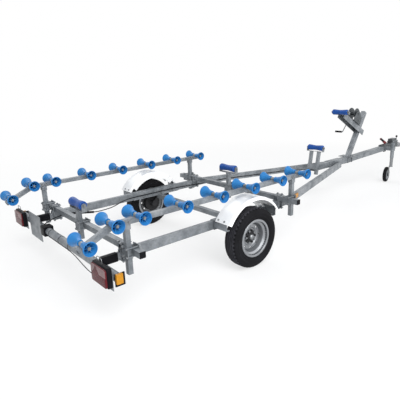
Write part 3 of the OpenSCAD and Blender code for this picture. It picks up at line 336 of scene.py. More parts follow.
def chassis_spot(place):
    """A matrix that puts the origin at a place on the chassis."""
    return CHASSIS @ Matrix.Translation(place)


def rounded_box(bm, size, matrix, radius, segments=3):
    """A box about the matrix's origin, with its edges rounded."""
    before = set(bm.verts)
    corners = bmesh.ops.create_cube(bm, size=1)["verts"]
    bmesh.ops.scale(bm, vec=size, verts=corners)
    edges = list({edge for corner in corners for edge in corner.link_edges})
    bmesh.ops.bevel(bm, geom=edges, offset=radius, segments=segments, affect="EDGES", profile=0.5)
    bmesh.ops.transform(bm, matrix=matrix, verts=[v for v in bm.verts if v not in before])


def smooth_path(points, reach=0.06, share=0.45, steps=8):
    """The line through points, its corners rounded over a reach or a share of a shorter side."""
    points = [Vector(p) for p in points]
    path = [points[0]]
    for before, corner, after in zip(points, points[1:], points[2:]):
        back, ahead = before - corner, after - corner
        cut = min(reach, share * back.length, share * ahead.length)
        start = corner + cut * back.normalized()
        end = corner + cut * ahead.normalized()
        for k in range(steps + 1):
            t = k / steps
            path.append((1 - t) ** 2 * start + 2 * t * (1 - t) * corner + t**2 * end)
    return path + [points[-1]]


def spaced(path, step):
    """Points at even steps along a path."""
    points, left = [path[0]], step
    for a, b in zip(path, path[1:]):
        length = (b - a).length
        while left <= length:
            points.append(a.lerp(b, left / length))
            left += step
        left -= length
    return points


# Finishes


def add_node(tree, kind, inputs=(), **settings):
    """A new shader node; each input is given a value, or another node's output to link to."""
    node = tree.nodes.new(f"ShaderNode{kind}")
    for name, value in settings.items():
        setattr(node, name, value)
    for key, value in dict(inputs).items():
        if isinstance(value, bpy.types.NodeSocket):
            tree.links.new(value, node.inputs[key])
        else:
            node.inputs[key].default_value = value
    return node


class Finish:
    """A material with one shader, and short ways to add its node textures."""

    # Most of a noise lies between these
    noise_range = (0.3, 0.7)

    def __init__(self, name, roughness=0.5, metallic=0.0, coat=0.0, shine=0.5):
        self.material = bpy.data.materials.get(name) or bpy.data.materials.new(name)
        self.material.use_nodes = True
        self.tree = self.material.node_tree
        self.tree.nodes.clear()
        look = {"Roughness": roughness, "Metallic": metallic, "Coat Weight": coat}
        self.shader = self.add("BsdfPrincipled", {**look, "Specular IOR Level": shine})
        self.output = self.add("OutputMaterial", {"Surface": self.shader.outputs["BSDF"]})
        self.place = self.add("TexCoord").outputs["Object"]

    def add(self, kind, inputs=(), **settings):
        return add_node(self.tree, kind, inputs, **settings)

    def noise(self, scale, detail=4.0, roughness=0.55):
        inputs = {"Vector": self.place, "Scale": scale, "Detail": detail, "Roughness": roughness}
        return self.add("TexNoise", inputs).outputs["Fac"]

    def flakes(self, scale):
        return self.add("TexVoronoi", {"Vector": self.place, "Scale": scale}).outputs["Color"]

    def tones(self, factor, stops):
        """Colours at stops along a factor."""
        ramp = self.add("ValToRGB", {"Fac": factor})
        elements = ramp.color_ramp.elements
        while len(elements) < len(stops):
            elements.new(0.5)
        for element, (position, colour) in zip(elements, stops):
            element.position = position
            element.color = (*colour, 1.0)
        return ramp.outputs["Color"]

    def multiply(self, first, second, amount):
        inputs = {"Factor": amount, "A": first, "B": second}
        return self.add("Mix", inputs, data_type="RGBA", blend_type="MULTIPLY").outputs["Result"]

    def map_range(self, factor, source, target):
        limits = zip(("From Min", "From Max", "To Min", "To Max"), (*source, *target))
        return self.add("MapRange", {"Value": factor, **dict(limits)}).outputs["Result"]

    def span(self, factor, low, high):
        """A noise spread from low to high."""
        return self.map_range(factor, self.noise_range, (low, high))

    def colour(self, socket):
        self.tree.links.new(socket, self.shader.inputs["Base Color"])

    def roughness(self, socket):
        self.tree.links.new(socket, self.shader.inputs["Roughness"])

    def bump(self, height, strength, distance=0.001):
        node = self.add("Bump", {"Height": height, "Strength": strength, "Distance": distance})
        self.tree.links.new(node.outputs["Normal"], self.shader.inputs["Normal"])


def shade(colour, factor):
    """A colour made lighter or darker by a factor."""
    return tuple(min(1.0, c * factor) for c in colour)


def galvanised_finish(colour):
    """Zinc with a faint spangle, dull patches and a little bloom."""
    finish = Finish("galvanised", metallic=0.35, shine=0.35)
    spangle = finish.tones(finish.flakes(70), [(0.0, shade(colour, 0.88)), (1.0, shade(colour, 1.14))])
    patches = finish.noise(9.0, detail=6)
    stain = finish.tones(patches, [(0.36, (0.52, 0.54, 0.56)), (0.62, (1.0, 1.0, 1.0))])
    finish.colour(finish.multiply(spangle, stain, 0.85))
    finish.roughness(finish.span(patches, 0.52, 0.36))
    finish.bump(finish.noise(180), 0.06)
    return finish.material


def bright_zinc_finish(colour):
    """Plated steel of pins, nuts and tubes that slide."""
    finish = Finish("bright_steel", metallic=0.85)
    wear = finish.noise(24, detail=5)
    finish.colour(finish.tones(wear, [(0.3, shade(colour, 0.82)), (0.7, shade(colour, 1.08))]))
    finish.roughness(finish.span(wear, 0.42, 0.26))
    return finish.material


def roller_finish(name, colour, gloss):
    """Moulded plastic with scuffs and a slightly rough skin."""
    finish = Finish(name, roughness=gloss, shine=0.25)
    scuff = finish.noise(16, detail=6)
    tones = [(0.25, shade(colour, 0.80)), (0.55, colour), (0.85, shade(colour, 1.18))]
    finish.colour(finish.tones(scuff, tones))
    finish.roughness(finish.span(scuff, gloss + 0.10, gloss - 0.06))
    finish.bump(finish.noise(320), 0.08, 0.0005)
    return finish.material


def rubber_finish(name, colour):
    """Tyre rubber with patches of dust."""
    finish = Finish(name, roughness=0.72, shine=0.08)
    dust = finish.noise(11, detail=7)
    finish.colour(finish.tones(dust, [(0.3, colour), (0.8, shade(colour, 2.2))]))
    finish.roughness(finish.span(dust, 0.62, 0.82))
    finish.bump(finish.noise(420), 0.15, 0.0006)
    return finish.material


def paint_finish(name, colour, roughness, metallic=0.0, wear=0.12, coat=0.0, shine=0.5):
    """Paint whose tone and gloss vary a little over the surface."""
    finish = Finish(name, metallic=metallic, coat=coat, shine=shine)
    tone = finish.noise(9, detail=6)
    finish.colour(finish.tones(tone, [(0.3, shade(colour, 1 - wear)), (0.7, shade(colour, 1 + wear / 2))]))
    finish.roughness(finish.span(tone, roughness + 0.08, roughness - 0.06))
    finish.bump(finish.noise(140), 0.04)
    return finish.material


def lens_finish(name, colour):
    """Glossy lens plastic with fine moulded prisms."""
    finish = Finish(name, roughness=0.22, shine=0.12)
    tone = finish.noise(40)
    finish.colour(finish.tones(tone, [(0.3, shade(colour, 0.85)), (0.7, shade(colour, 1.15))]))
    finish.bump(finish.flakes(260), 0.35, 0.0008)
    return finish.material


def make_finishes(colours):
    """The finish of each of the record's slots, and those of the tread and the clear fields."""
    return {
        "galvanised": galvanised_finish(colours.zinc),
        "bright_steel": bright_zinc_finish(colours.bright),
        "light_blue_roller": roller_finish("flared_roller", colours.flared_blue, 0.36),
        "dark_blue_roller": roller_finish("keel_roller", colours.keel_blue, 0.40),
        "tyre": rubber_finish("tyre_rubber", colours.rubber),
        "tyre_tread": rubber_finish("tyre_tread", shade(colours.rubber, 3.5)),
        "rim_paint": paint_finish("rim_silver", colours.rim, 0.34, metallic=0.6),
        "hub_iron": paint_finish("hub_iron", colours.iron, 0.55, wear=0.3, shine=0.25),
        "guard_white": paint_finish("guard_white", colours.guard, 0.30, wear=0.05, coat=0.2),
        "black_plastic": paint_finish("black_plastic", colours.black, 0.45, wear=0.25, shine=0.08),
        "red_lens": lens_finish("lens_red", colours.red),
        "clear_lens": lens_finish("lens_clear", colours.clear),
        "amber_lens": lens_finish("lens_amber", colours.amber),
        "winch_grey": paint_finish("winch_grey", colours.winch, 0.42, metallic=0.5, wear=0.2),
        "red_paint": paint_finish("brake_red", colours.brake, 0.45, wear=0.2),
    }


def finish_of(slot):
    """A finish that the first operator has made."""
    names = {
        "light_blue_roller": "flared_roller",
        "tyre": "tyre_rubber",
        "red_lens": "lens_red",
        "clear_lens": "lens_clear",
        "red_paint": "brake_red",
    }
    material = bpy.data.materials.get(names.get(slot, slot))
    if material is None:
        raise RuntimeError(f"run the finishes operator before a piece uses {slot}")
    return material


# Operators


class TRAILER_OT_finishes(bpy.types.Operator):
    """Give every solid of the trailer its finish"""

    bl_idname = "trailer.finishes"
    bl_label = "Finishes"

    smooth_angle = 32

    def execute(self, context):
        finishes = make_finishes(context.scene.trailer_colours)
        for entry in frame["record"]["subparts"]:
            mesh = frame["nodes"][entry["node"]].data
            mesh.materials.clear()
            mesh.materials.append(finishes[entry["material_slot"]])
            mesh.shade_smooth()
            mesh.set_sharp_from_angle(angle=math.radians(self.smooth_angle))
        return {"FINISHED"}


class TRAILER_OT_tyres(bpy.types.Operator):
    """Build the two road tyres with their tread"""

    bl_idname = "trailer.tyres"
    bl_label = "Tyres"

    # Half a section as (radius, distance from the tyre's middle)
    bead = (0.1653, 0.0565)
    wall = [(0.1850, 0.0570), (0.1960, 0.0655), (0.2080, 0.0730), (0.2100, 0.0752), (0.2140, 0.0756)]
    wall += [(0.2160, 0.0745), (0.2270, 0.0780), (0.2390, 0.0785), (0.2410, 0.0795), (0.2450, 0.0790)]
    wall += [(0.2470, 0.0770), (0.2580, 0.0745), (0.2680, 0.0695), (0.2760, 0.0640)]
    shoulder = [(0.2815, 0.0580), (0.2850, 0.0520), (0.2870, 0.0465), (0.2878, 0.0400)]
    crown_gap = 0.0004
    crown_fall = 0.25
    grooves = (-0.033, -0.011, 0.011, 0.033)
    groove_half = 0.0042
    groove_lip = 0.0012
    groove_taper = 0.0008
    block_cut = 0.008
    block_slack = 0.001
    per_block = 4
    # Radius from which the tread is worn and dusty
    worn_from = 0.2825
    smooth_angle = 28

    def profile(self, depth):
        """A section of the tyre from bead to bead."""
        half = [self.bead, *self.wall, *self.shoulder]
        tread = []
        for y in reversed(self.grooves):
            near, far = y + self.groove_half, y - self.groove_half
            top = WHEEL_R - self.crown_gap - self.crown_fall * y * y
            low = top - depth
            tread += [(top, near + self.groove_lip), (low, near - self.groove_taper)]
            tread += [(low, far + self.groove_taper), (top, far - self.groove_lip)]
        return half + tread + [(r, -y) for r, y in reversed(half)]

    def execute(self, context):
        sizes = context.scene.trailer_sizes
        profile = self.profile(sizes.tread_depth)
        segments = sizes.tread_blocks * self.per_block
        outer = self.shoulder[0][1] + self.block_slack
        inner = self.shoulder[-1][1] - self.block_slack

        def cut_blocks(i, k, r):
            y = profile[k][1]
            half_step = self.per_block // 2 if y > 0 else 0
            between = (i + half_step) % self.per_block == 0
            return r - self.block_cut if between and inner <= abs(y) <= outer else r

        for side in SIDES:

            def tyre(bm):
                lathe(bm, profile, wheel_matrix(side), segments, cut_blocks)
                for face in bm.faces:
                    out = face.calc_center_median() - WHEELS[side]
                    face.material_index = int(math.hypot(out.x, out.z) > self.worn_from)

            add_piece(
                f"road_tyre_{side}",
                tyre,
                f"wheel_{side}",
                "tyre",
                [f"tyre_{side}"],
                ["tyre", "tyre_tread"],
                self.smooth_angle,
            )
        return {"FINISHED"}


class TRAILER_OT_wheel_trim(bpy.types.Operator):
    """Add hub caps, wheel nuts and valves to the road wheels"""

    bl_idname = "trailer.wheel_trim"
    bl_label = "Wheel trim"

    studs = 5
    stud_r = 0.058
    nut_y = -0.0152
    nut_radius, nut_height = 0.0132, 0.0195
    valve_foot = Vector((0.136, -0.004, 0.012))
    # Valve as (distance along it, radius)
    valve = ((0.0, 0.0058), (0.020, 0.0058), (0.0215, 0.0042), (0.034, 0.0042))
    valve_sides = 10
    # Half a section of the cap as (radius, distance outwards)
    cap = [(0.0, 0.0275), (0.010, 0.0268), (0.019, 0.0240), (0.0250, 0.0195), (0.0285, 0.0120)]
    cap += [(0.0300, 0.0062), (0.0, 0.0062)]
    cap_segments = 40

    def execute(self, context):
        for side in SIDES:
            body = f"wheel_{side}"
            matrix = wheel_matrix(side)
            out = Vector((0, OUTWARD[side], 0))

            def nuts(bm):
                for i in range(self.studs):
                    a = 2 * math.pi * i / self.studs
                    spot = Vector((self.stud_r * math.cos(a), self.nut_y, -self.stud_r * math.sin(a)))
                    hex_nut(bm, matrix @ spot, out, self.nut_radius, self.nut_height)

            def valve(bm):
                foot = matrix @ self.valve_foot
                points = [foot + distance * out for distance, radius in self.valve]
                tube(bm, points, lambda i: self.valve[i][1], self.valve_sides)

            def cap(bm):
                lathe(bm, self.cap, matrix, self.cap_segments)

            add_piece(f"wheel_nuts_{side}", nuts, body, "bright_steel")
            add_piece(f"valve_{side}", valve, body, "black_plastic")
            add_piece(f"hub_cap_{side}", cap, body, "bright_steel")
        return {"FINISHED"}


class TRAILER_OT_roller_ribs(bpy.types.Operator):
    """Add the stiffening ribs inside the flared rollers"""

    bl_idname = "trailer.roller_ribs"
    bl_label = "Roller ribs"

    neck_y = 0.026
    thick = 0.004
    # Outline of one rib as (radius, distance from the roller's narrow end)
    outline = [(0.0140, 0.035), (0.0225, 0.035), (0.0290, 0.057)]
    outline += [(0.0350, 0.073), (0.0390, 0.083), (0.0140, 0.072)]

    def execute(self, context):
        count = context.scene.trailer_sizes.rib_count
        outline = [(r, self.neck_y + y) for r, y in self.outline]
        half_back = Matrix.Translation((0, 0, -self.thick / 2))
        ends = [Matrix.Rotation(angle, 4, "Z") for angle in (0, math.pi)]
        turns = [Matrix.Rotation(2 * math.pi * i / count, 4, "Y") for i in range(count)]
        for side in SIDES:
            for number in ROLLER_PAIRS:
                name = f"roller_{side}_{number}"
                middle = Matrix.Translation(pivot(f"{name}_spin"))

                def ribs(bm):
                    for end in ends:
                        for turn in turns:
                            prism(bm, outline, self.thick, middle @ end @ turn @ half_back)

                add_piece(f"{name}_ribs", ribs, name, "light_blue_roller")
        return {"FINISHED"}


class TRAILER_OT_fasteners(bpy.types.Operator):
    """Add the nuts of the frame's clamps, the axle's sleeves and the winch post"""

    bl_idname = "trailer.fasteners"
    bl_label = "Fasteners"

    plate = 0.007
    nut_height = 0.009
    # Distances of nuts from the middle of what they hold
    post_y, post_z = 0.028, 0.033
    crossing_x, crossing_y = 0.032, 0.027
    foot_x, foot_y = 0.058, 0.0463
    ear_x = 0.014
    ear_sheet = 0.005
    sleeve_xs = (-0.200, -0.165, 0.030, 0.065, 0.195, 0.230)
    sleeve_up = 0.014

    def post_clamp(self, x, y, ahead):
        """Nuts on both plates that hold an upright to the side of a cross tube."""
        back = CROSS_SIDE / 2 + self.plate
        faces = ((-back, -1), (back + BEAM_SIDE, 1))
        return [
            (Vector((x + ahead * face, y + dy, CROSS_Z + dz)), Vector((ahead * way, 0, 0)))
            for face, way in faces
            for dy in (-self.post_y, self.post_y)
            for dz in (-self.post_z, self.post_z)
        ]

    def crossing(self, x, y):
        """Nuts over and under a cross tube on its rail."""
        low = RAIL_Z - RAIL_HALF.z - self.plate
        high = RAIL_Z + RAIL_HALF.z + CROSS_SIDE + self.plate
        return [
            (Vector((x + dx, y + dy, z)), Vector((0, 0, way)))
            for dx in (-self.crossing_x, self.crossing_x)
            for dy in (-self.crossing_y, self.crossing_y)
            for z, way in ((low, -1), (high, 1))
        ]

    def sleeve(self, y):
        """Bolt heads along the lower edge of the axle's sleeves."""
        edge = RAIL_Z - RAIL_HALF.z + self.sleeve_up
        return [
            (Vector((x, y + way * (RAIL_HALF.y + SLEEVE_WALL), edge)), Vector((0, way, 0)))
            for x in self.sleeve_xs
            for way in (-1, 1)
        ]

    def winch_foot(self):
        """Nuts on the plate under the winch post."""
        return [
            (WINCH_FOOT + Vector((dx, dy, FOOT_SHEET)), Vector((0, 0, 1)))
            for dx in (-self.foot_x, self.foot_x)
            for dy in (-self.foot_y, self.foot_y)
        ]

    def beam_ears(self, x, y):
        """Nuts on the ears that hold a roller beam on its post."""
        return [
            (Vector((x + dx, y + way * (BEAM_SIDE / 2 + self.ear_sheet), BEAM_Z)), Vector((0, way, 0)))
            for dx in (-self.ear_x, self.ear_x)
            for way in (-1, 1)
        ]

    def execute(self, context):
        radius = context.scene.trailer_sizes.nut_radius
        spots = self.winch_foot()
        for way in (-1, 1):
            for x, ahead in zip(CROSS_XS, (-1, 1)):
                spots += self.post_clamp(x, way * BEAM_Y, ahead)
                spots += self.crossing(x, way * RAIL_Y)
                spots += self.beam_ears(x + ahead * POST_STAND_OFF, way * BEAM_Y)
            spots += self.sleeve(way * RAIL_Y)
        for x in CROSS_XS:
            spots += self.post_clamp(x, 0, -1)

        def nuts(bm):
            for point, direction in spots:
                hex_nut(bm, CHASSIS @ point, CHASSIS.to_3x3() @ direction, radius, self.nut_height)

        add_piece("frame_nuts", nuts, "chassis", "bright_steel")
        return {"FINISHED"}


class TRAILER_OT_guard_trim(bpy.types.Operator):
    """Add the rolled edges and bolts of the mudguards"""

    bl_idname = "trailer.guard_trim"
    bl_label = "Guard trim"

    bead_r = 0.005
    bead_in = 0.002
    lip_r = 0.368
    steps = 36
    sheet = 0.004
    # Degrees from the guard's ends to its bolts
    bolt_back = 3.2
    bolt_ys = (0.775, 0.850)
    bolt_radius, bolt_height = 0.010, 0.006

    def arc(self, radius, y):
        """Points along an edge of a guard."""
        first, last = (math.radians(a) for a in GUARD_ANGLES)
        angles = [first + (last - first) * i / self.steps for i in range(self.steps + 1)]
        return [on_chassis(radius * math.cos(a), y, WHEEL_R + radius * math.sin(a)) for a in angles]

    def execute(self, context):
        bolt_angles = (GUARD_ANGLES[0] + self.bolt_back, GUARD_ANGLES[1] - self.bolt_back)
        for side in SIDES:
            way = OUTWARD[side]

            def beads(bm):
                tube(bm, self.arc(self.lip_r, way * (GUARD_EDGE_Y - self.bead_in)), self.bead_r)

            def bolts(bm):
                for a in map(math.radians, bolt_angles):
                    out = Vector((math.cos(a), 0, math.sin(a)))
                    turned = CHASSIS.to_3x3() @ out
                    for y in self.bolt_ys:
                        spot = Vector((0, way * y, WHEEL_R)) + (GUARD_R + self.sheet) * out
                        hex_nut(bm, CHASSIS @ spot, turned, self.bolt_radius, self.bolt_height)

            add_piece(f"guard_edge_{side}", beads, "chassis", "guard_white")
            add_piece(f"guard_bolts_{side}", bolts, "chassis", "bright_steel")
        return {"FINISHED"}


class TRAILER_OT_lamps(bpy.types.Operator):
    """Build the rear lamps' lenses with a red triangle between clear fields"""

    bl_idname = "trailer.lamps"
    bl_label = "Rear lamps"

    # Share of the height where the plain red field ends, and the triangle's slopes above it
    field_top = 0.58
    apex = 0.36
    half_base = 0.22
    corner = 0.014
    rim_round = 0.006

    def cut_lines(self):
        """Points (u, v) and normals of the lines that part the fields, u to the right and v up."""
        rise = 1 - self.field_top
        left = Vector((rise, -self.half_base)).normalized()
        right = Vector((rise, self.half_base)).normalized()
        return [((0.5, self.field_top), (0, 1)), ((self.apex, 1), left), ((self.apex, 1), right)]

    def is_clear(self, u, v):
        """Whether a point of the lens lies in a clear field."""
        inside = abs(u - self.apex) < self.half_base * (1 - v) / (1 - self.field_top)
        return v > self.field_top and not inside

    def execute(self, context):
        depth, width, height = LENS_SIZE

        def lens(bm, y):
            bmesh.ops.create_cube(bm, size=1)
            bmesh.ops.scale(bm, vec=(depth, width, height), verts=bm.verts)
            bm.normal_update()
            corners = [e for e in bm.edges if abs(e.verts[0].co.x - e.verts[1].co.x) > 0.5 * depth]
            bmesh.ops.bevel(bm, geom=corners, offset=self.corner, segments=4, affect="EDGES", profile=0.5)
            bm.normal_update()
            rim = [e for e in bm.edges if any(abs(f.normal.x + 1) < 0.01 for f in e.link_faces)]
            rim = [e for e in rim if len({round(f.normal.x, 2) for f in e.link_faces}) > 1]
            bmesh.ops.bevel(bm, geom=rim, offset=self.rim_round, segments=3, affect="EDGES", profile=0.6)
            for (u, v), (nu, nv) in self.cut_lines():
                geometry = bm.verts[:] + bm.edges[:] + bm.faces[:]
                point = (0, (0.5 - u) * width, (v - 0.5) * height)
                normal = (0, -nu / width, nv / height)
                bmesh.ops.bisect_plane(bm, geom=geometry, plane_co=point, plane_no=normal, dist=1e-6)
            for face in bm.faces:
                middle = face.calc_center_median()
                u, v = 0.5 - middle.y / width, 0.5 + middle.z / height
                face.material_index = 1 if face.normal.x < -0.5 and self.is_clear(u, v) else 0
            place = Vector((LAMP_BACK - depth / 2, y, LAMP_Z))
            bmesh.ops.transform(bm, matrix=chassis_spot(place), verts=bm.verts)

        fields = ["red_lens", "clear_lens"]
        for side, y in zip(SIDES, LAMP_YS):
            name = f"lamp_lens_{side}"
            add_piece(name, lambda bm: lens(bm, y), "chassis", "red_lens", ["lamp_lenses"], fields)
        return {"FINISHED"}


class TRAILER_OT_light_fittings(bpy.types.Operator):
    """Build the lamps' housings, their wire hoops and the black sleeves of the light bar"""

    bl_idname = "trailer.light_fittings"
    bl_label = "Light fittings"

    corner = 0.012
    sleeve_wall = 0.004
    hoop_r = 0.003
    # Half a hoop as (distance from its middle, height over the housing)
    hoop = ((0.040, -0.004), (0.040, 0.026), (0.037, 0.036), (0.028, 0.042), (0.0, 0.046))
    hoop_shift = 0.030

    def housings(self, bm):
        """Housings of the lamps, bases of the side markers and the block on the bar."""
        for y in LAMP_YS:
            place = Vector((LAMP_BACK + LAMP_SIZE.x / 2, y, LAMP_Z))
            rounded_box(bm, LAMP_SIZE, chassis_spot(place), self.corner)
        for way in (-1, 1):
            end = LIGHT_BAR + Vector((0, way * (LIGHT_BAR_HALF + MARKER_BASE.y / 2), 0))
            rounded_box(bm, MARKER_BASE, chassis_spot(end + MARKER_SHIFT), MARKER_BASE.y / 4)
        block = Vector((LIGHT_BAR.x, LIGHT_BLOCK_Y, LIGHT_BAR.z))
        rounded_box(bm, LIGHT_BLOCK, chassis_spot(block), self.corner / 2)

    def sleeves(self, bm):
        """Sleeves round the arms that slide into the rails."""
        wall = 2 * self.sleeve_wall
        size = LIGHT_ARM + Vector((0, wall, wall))
        for way in (-1, 1):
            middle = Vector((LIGHT_ARM_MIDDLE.x, way * LIGHT_ARM_MIDDLE.y, LIGHT_ARM_MIDDLE.z))
            rounded_box(bm, size, chassis_spot(middle), self.sleeve_wall)

    def hoops(self, bm):
        """Wire hoops over the lamps."""
        outline = [*self.hoop, *((-y, z) for y, z in reversed(self.hoop[:-1]))]
        x = LAMP_BACK + LAMP_SIZE.x / 2
        top = LAMP_Z + LAMP_SIZE.z / 2
        for y in LAMP_YS:
            middle = y + self.hoop_shift
            tube(bm, [on_chassis(x, middle + dy, top + dz) for dy, dz in outline], self.hoop_r)

    def execute(self, context):
        add_piece("lamp_housings", self.housings, "chassis", "black_plastic", ["lamp_bodies"])
        add_piece("light_sleeves", self.sleeves, "chassis", "black_plastic")
        add_piece("lamp_hoops", self.hoops, "chassis", "bright_steel")
        return {"FINISHED"}


class TRAILER_OT_cable(bpy.types.Operator):
    """Build the cable that runs along the chassis, with its sleeve and its plug at the nose"""

    bl_idname = "trailer.cable"
    bl_label = "Cable"

    # Half a section of the plug as (radius, distance along it), from the cable's end
    plug = [(0.0, -0.016), (0.010, -0.016), (0.012, 0.0), (0.0165, 0.004), (0.0165, 0.018)]
    plug += [(0.0150, 0.020), (0.0150, 0.038), (0.0165, 0.040), (0.0165, 0.050), (0.0, 0.050)]
    # Stretch of the chassis where the cable lies in a ribbed sleeve, and the sleeve's two radii
    sleeved = (-1.110, -0.840)
    sleeve_r = (0.0105, 0.0125)
    rib_step = 0.004
    smooth_angle = 60
    plug_gap = 0.0005
    cable_sides, sleeve_sides, plug_segments = 12, 16, 32

    def execute(self, context):
        route = smooth_path(CABLE_ROUTE)
        path = [CHASSIS @ point for point in route]
        first, last = self.sleeved
        ribbed = [CHASSIS @ p for p in spaced(route, self.rib_step) if first < p.x < last]
        turn = (path[-1] - path[-2]).to_track_quat("Y", "Z").to_matrix().to_4x4()
        plug_r = max(radius for radius, distance in self.plug)
        drop = Vector((0, 0, CABLE_D / 2 - plug_r + self.plug_gap))
        place = Matrix.Translation(path[-1] + drop) @ turn

        def tubing(bm):
            tube(bm, path, CABLE_D / 2, self.cable_sides)

        def ribs(bm):
            tube(bm, ribbed, lambda i: self.sleeve_r[i % 2], self.sleeve_sides)

        def turned(bm):
            lathe(bm, self.plug, place, self.plug_segments)

        cable = add_piece("chassis_cable", tubing, "chassis", "black_plastic", ["wiring"])
        sleeve = add_piece("cable_sleeve", ribs, "chassis", "black_plastic", smooth_angle=self.smooth_angle)
        plug = add_piece("cable_plug", turned, "chassis", "black_plastic")
        return {"FINISHED"}


class TRAILER_OT_lamp_lead(bpy.types.Operator):
    """Build the near lamp's lead, which is tied to the light bar and then hangs free"""

    bl_idname = "trailer.lamp_lead"
    bl_label = "Lamp lead"

    sides = 12
    ties = (0.350, 0.120, -0.090)
    tie_half, tie_gap, tie_thick = 0.003, 0.0002, 0.0016
    tie_segments = 48
    # How far a tie's hump over the lead spreads, in segments
    hump = 2.2

    def bands(self, bm):
        """Ties that pass round bar and lead."""
        spot = Vector(LEAD_ROUTE[0]) - LIGHT_BAR
        over = round(self.tie_segments * (1 + math.atan2(spot.z, spot.x) / (2 * math.pi)))

        def round_lead(i, k, r):
            return r + LEAD_D * math.exp(-(((i - over) / self.hump) ** 2))

        near = LIGHT_BAR_R + self.tie_gap
        far = near + self.tie_thick
        half = self.tie_half
        band = [(near, -half), (far, -half), (far, half), (near, half)]
        for y in self.ties:
            place = chassis_spot(Vector((LIGHT_BAR.x, y, LIGHT_BAR.z)))
            lathe(bm, band, place, self.tie_segments, round_lead)

    def execute(self, context):
        path = [CHASSIS @ point for point in smooth_path(LEAD_ROUTE)]

        def tubing(bm):
            tube(bm, path, LEAD_D / 2, self.sides)

        lead = add_piece("lamp_lead", tubing, "chassis", "black_plastic")
        add_piece("lead_ties", self.bands, "chassis", "black_plastic")
        return {"FINISHED"}


class TRAILER_OT_lever_cover(bpy.types.Operator):
    """Build the moulded cover of the handbrake lever"""

    bl_idname = "trailer.lever_cover"
    bl_label = "Lever cover"

    clear = 0.0005
    # Sections as (distance from the pivot, width, thickness)
    sections = ((0.062, 0.030, 0.012), (0.072, 0.046, 0.020), (0.120, 0.048, 0.021))
    sections += ((0.190, 0.040, 0.020), (0.204, 0.032, 0.014))
    corner = 0.3
    points = 24

    def outline(self, width, thick):
        """Points (x, y) round a rectangle with soft corners."""
        outline = []
        for i in range(self.points):
            a = 2 * math.pi * i / self.points
            c, s = math.cos(a), math.sin(a)
            x = math.copysign(abs(c) ** self.corner, c) * width / 2
            y = math.copysign(abs(s) ** self.corner, s) * thick / 2
            outline.append((x, y))
        return outline

    def execute(self, context):
        nose = chassis_spot(NOSE) @ Matrix.Rotation(-NOSE_SLOPE, 4, "Y")
        lean = Matrix.Rotation(LEVER_SLOPE - math.pi / 2, 4, "Y")
        lever = nose @ Matrix.Translation(LEVER_PIVOT) @ lean
        inner = COUPLING_HALF + self.clear - LEVER_PIVOT.y

        def cover(bm):
            rings = []
            for z, width, thick in self.sections:
                middle = inner + thick / 2
                rings.append([lever @ Vector((x, middle + y, z)) for x, y in self.outline(width, thick)])
            loft(bm, rings)

        add_piece("lever_cover", cover, "chassis", "red_paint")
        return {"FINISHED"}


class TRAILER_OT_winch_gear(bpy.types.Operator):
    """Build the winch drum with the teeth of its gear"""

    bl_idname = "trailer.winch_gear"
    bl_label = "Winch gear"

    teeth = 48
    tip, root = 0.088, 0.0835
    gear_y, gear_w = 0.052, 0.008
    shaft_r, shaft_half = 0.009, 0.078
    flange_r, flange_y, flange_t = 0.082, 0.040, 0.004
    barrel_r = 0.026
    segments = 64
    # One tooth as (share of the pitch, radius)
    tooth = ((0.0, root), (0.22, root), (0.36, tip), (0.86, tip))

    def drum(self, bm, middle):
        """Barrel, flanges and shaft."""
        near, far = self.flange_y - self.flange_t / 2, self.flange_y + self.flange_t / 2
        half = [(self.barrel_r, near), (self.flange_r, near), (self.flange_r, far), (self.barrel_r, far)]
        half += [(self.barrel_r, self.gear_y), (self.shaft_r, self.gear_y)]
        half += [(self.shaft_r, self.shaft_half), (0.0, self.shaft_half)]
        profile = [(r, -y) for r, y in reversed(half)] + half
        lathe(bm, profile, middle, self.segments, closed=False)

    def gear(self, bm, middle):
        """The toothed wheel beside a flange."""
        outline = []
        for i in range(self.teeth):
            for share, r in self.tooth:
                a = 2 * math.pi * (i + share) / self.teeth
                outline.append((r * math.cos(a), r * math.sin(a)))
        outer = Matrix.Translation((0, self.gear_y + self.gear_w / 2, 0))
        prism(bm, outline, self.gear_w, middle @ outer @ Matrix.Rotation(math.pi / 2, 4, "X"))

    def execute(self, context):
        middle = Matrix.Translation(pivot("drum_spin"))

        def toothed_drum(bm):
            self.drum(bm, middle)
            self.gear(bm, middle)

        add_piece("toothed_drum", toothed_drum, "drum", "winch_grey", ["winch_drum"])
        return {"FINISHED"}


class TRAILER_OT_welds(bpy.types.Operator):
    """Add the weld beads round the winch post's foot"""

    bl_idname = "trailer.welds"
    bl_label = "Welds"

    pitch = 0.004
    # Radii of the bead's ripples, as shares of its own
    ripple = (0.9, 1.15)
    corners = ((-1, -1), (1, -1), (1, 1), (-1, 1), (-1, -1))

    def execute(self, context):
        radius = context.scene.trailer_sizes.weld_radius
        half_x = POST_HALF.x / math.cos(POST_LEAN)
        middle = WINCH_FOOT + Vector((FOOT_SHEET * math.tan(POST_LEAN), 0, FOOT_SHEET))
        corners = [middle + Vector((x * half_x, y * POST_HALF.y, 0)) for x, y in self.corners]

        def beads(bm):
            for first, last in zip(corners, corners[1:]):
                count = round((last - first).length / self.pitch)
                points = [CHASSIS @ first.lerp(last, i / count) for i in range(count + 1)]
                tube(bm, points, lambda i: radius * self.ripple[i % 2])

        add_piece("weld_beads", beads, "chassis", "galvanised")
        return {"FINISHED"}


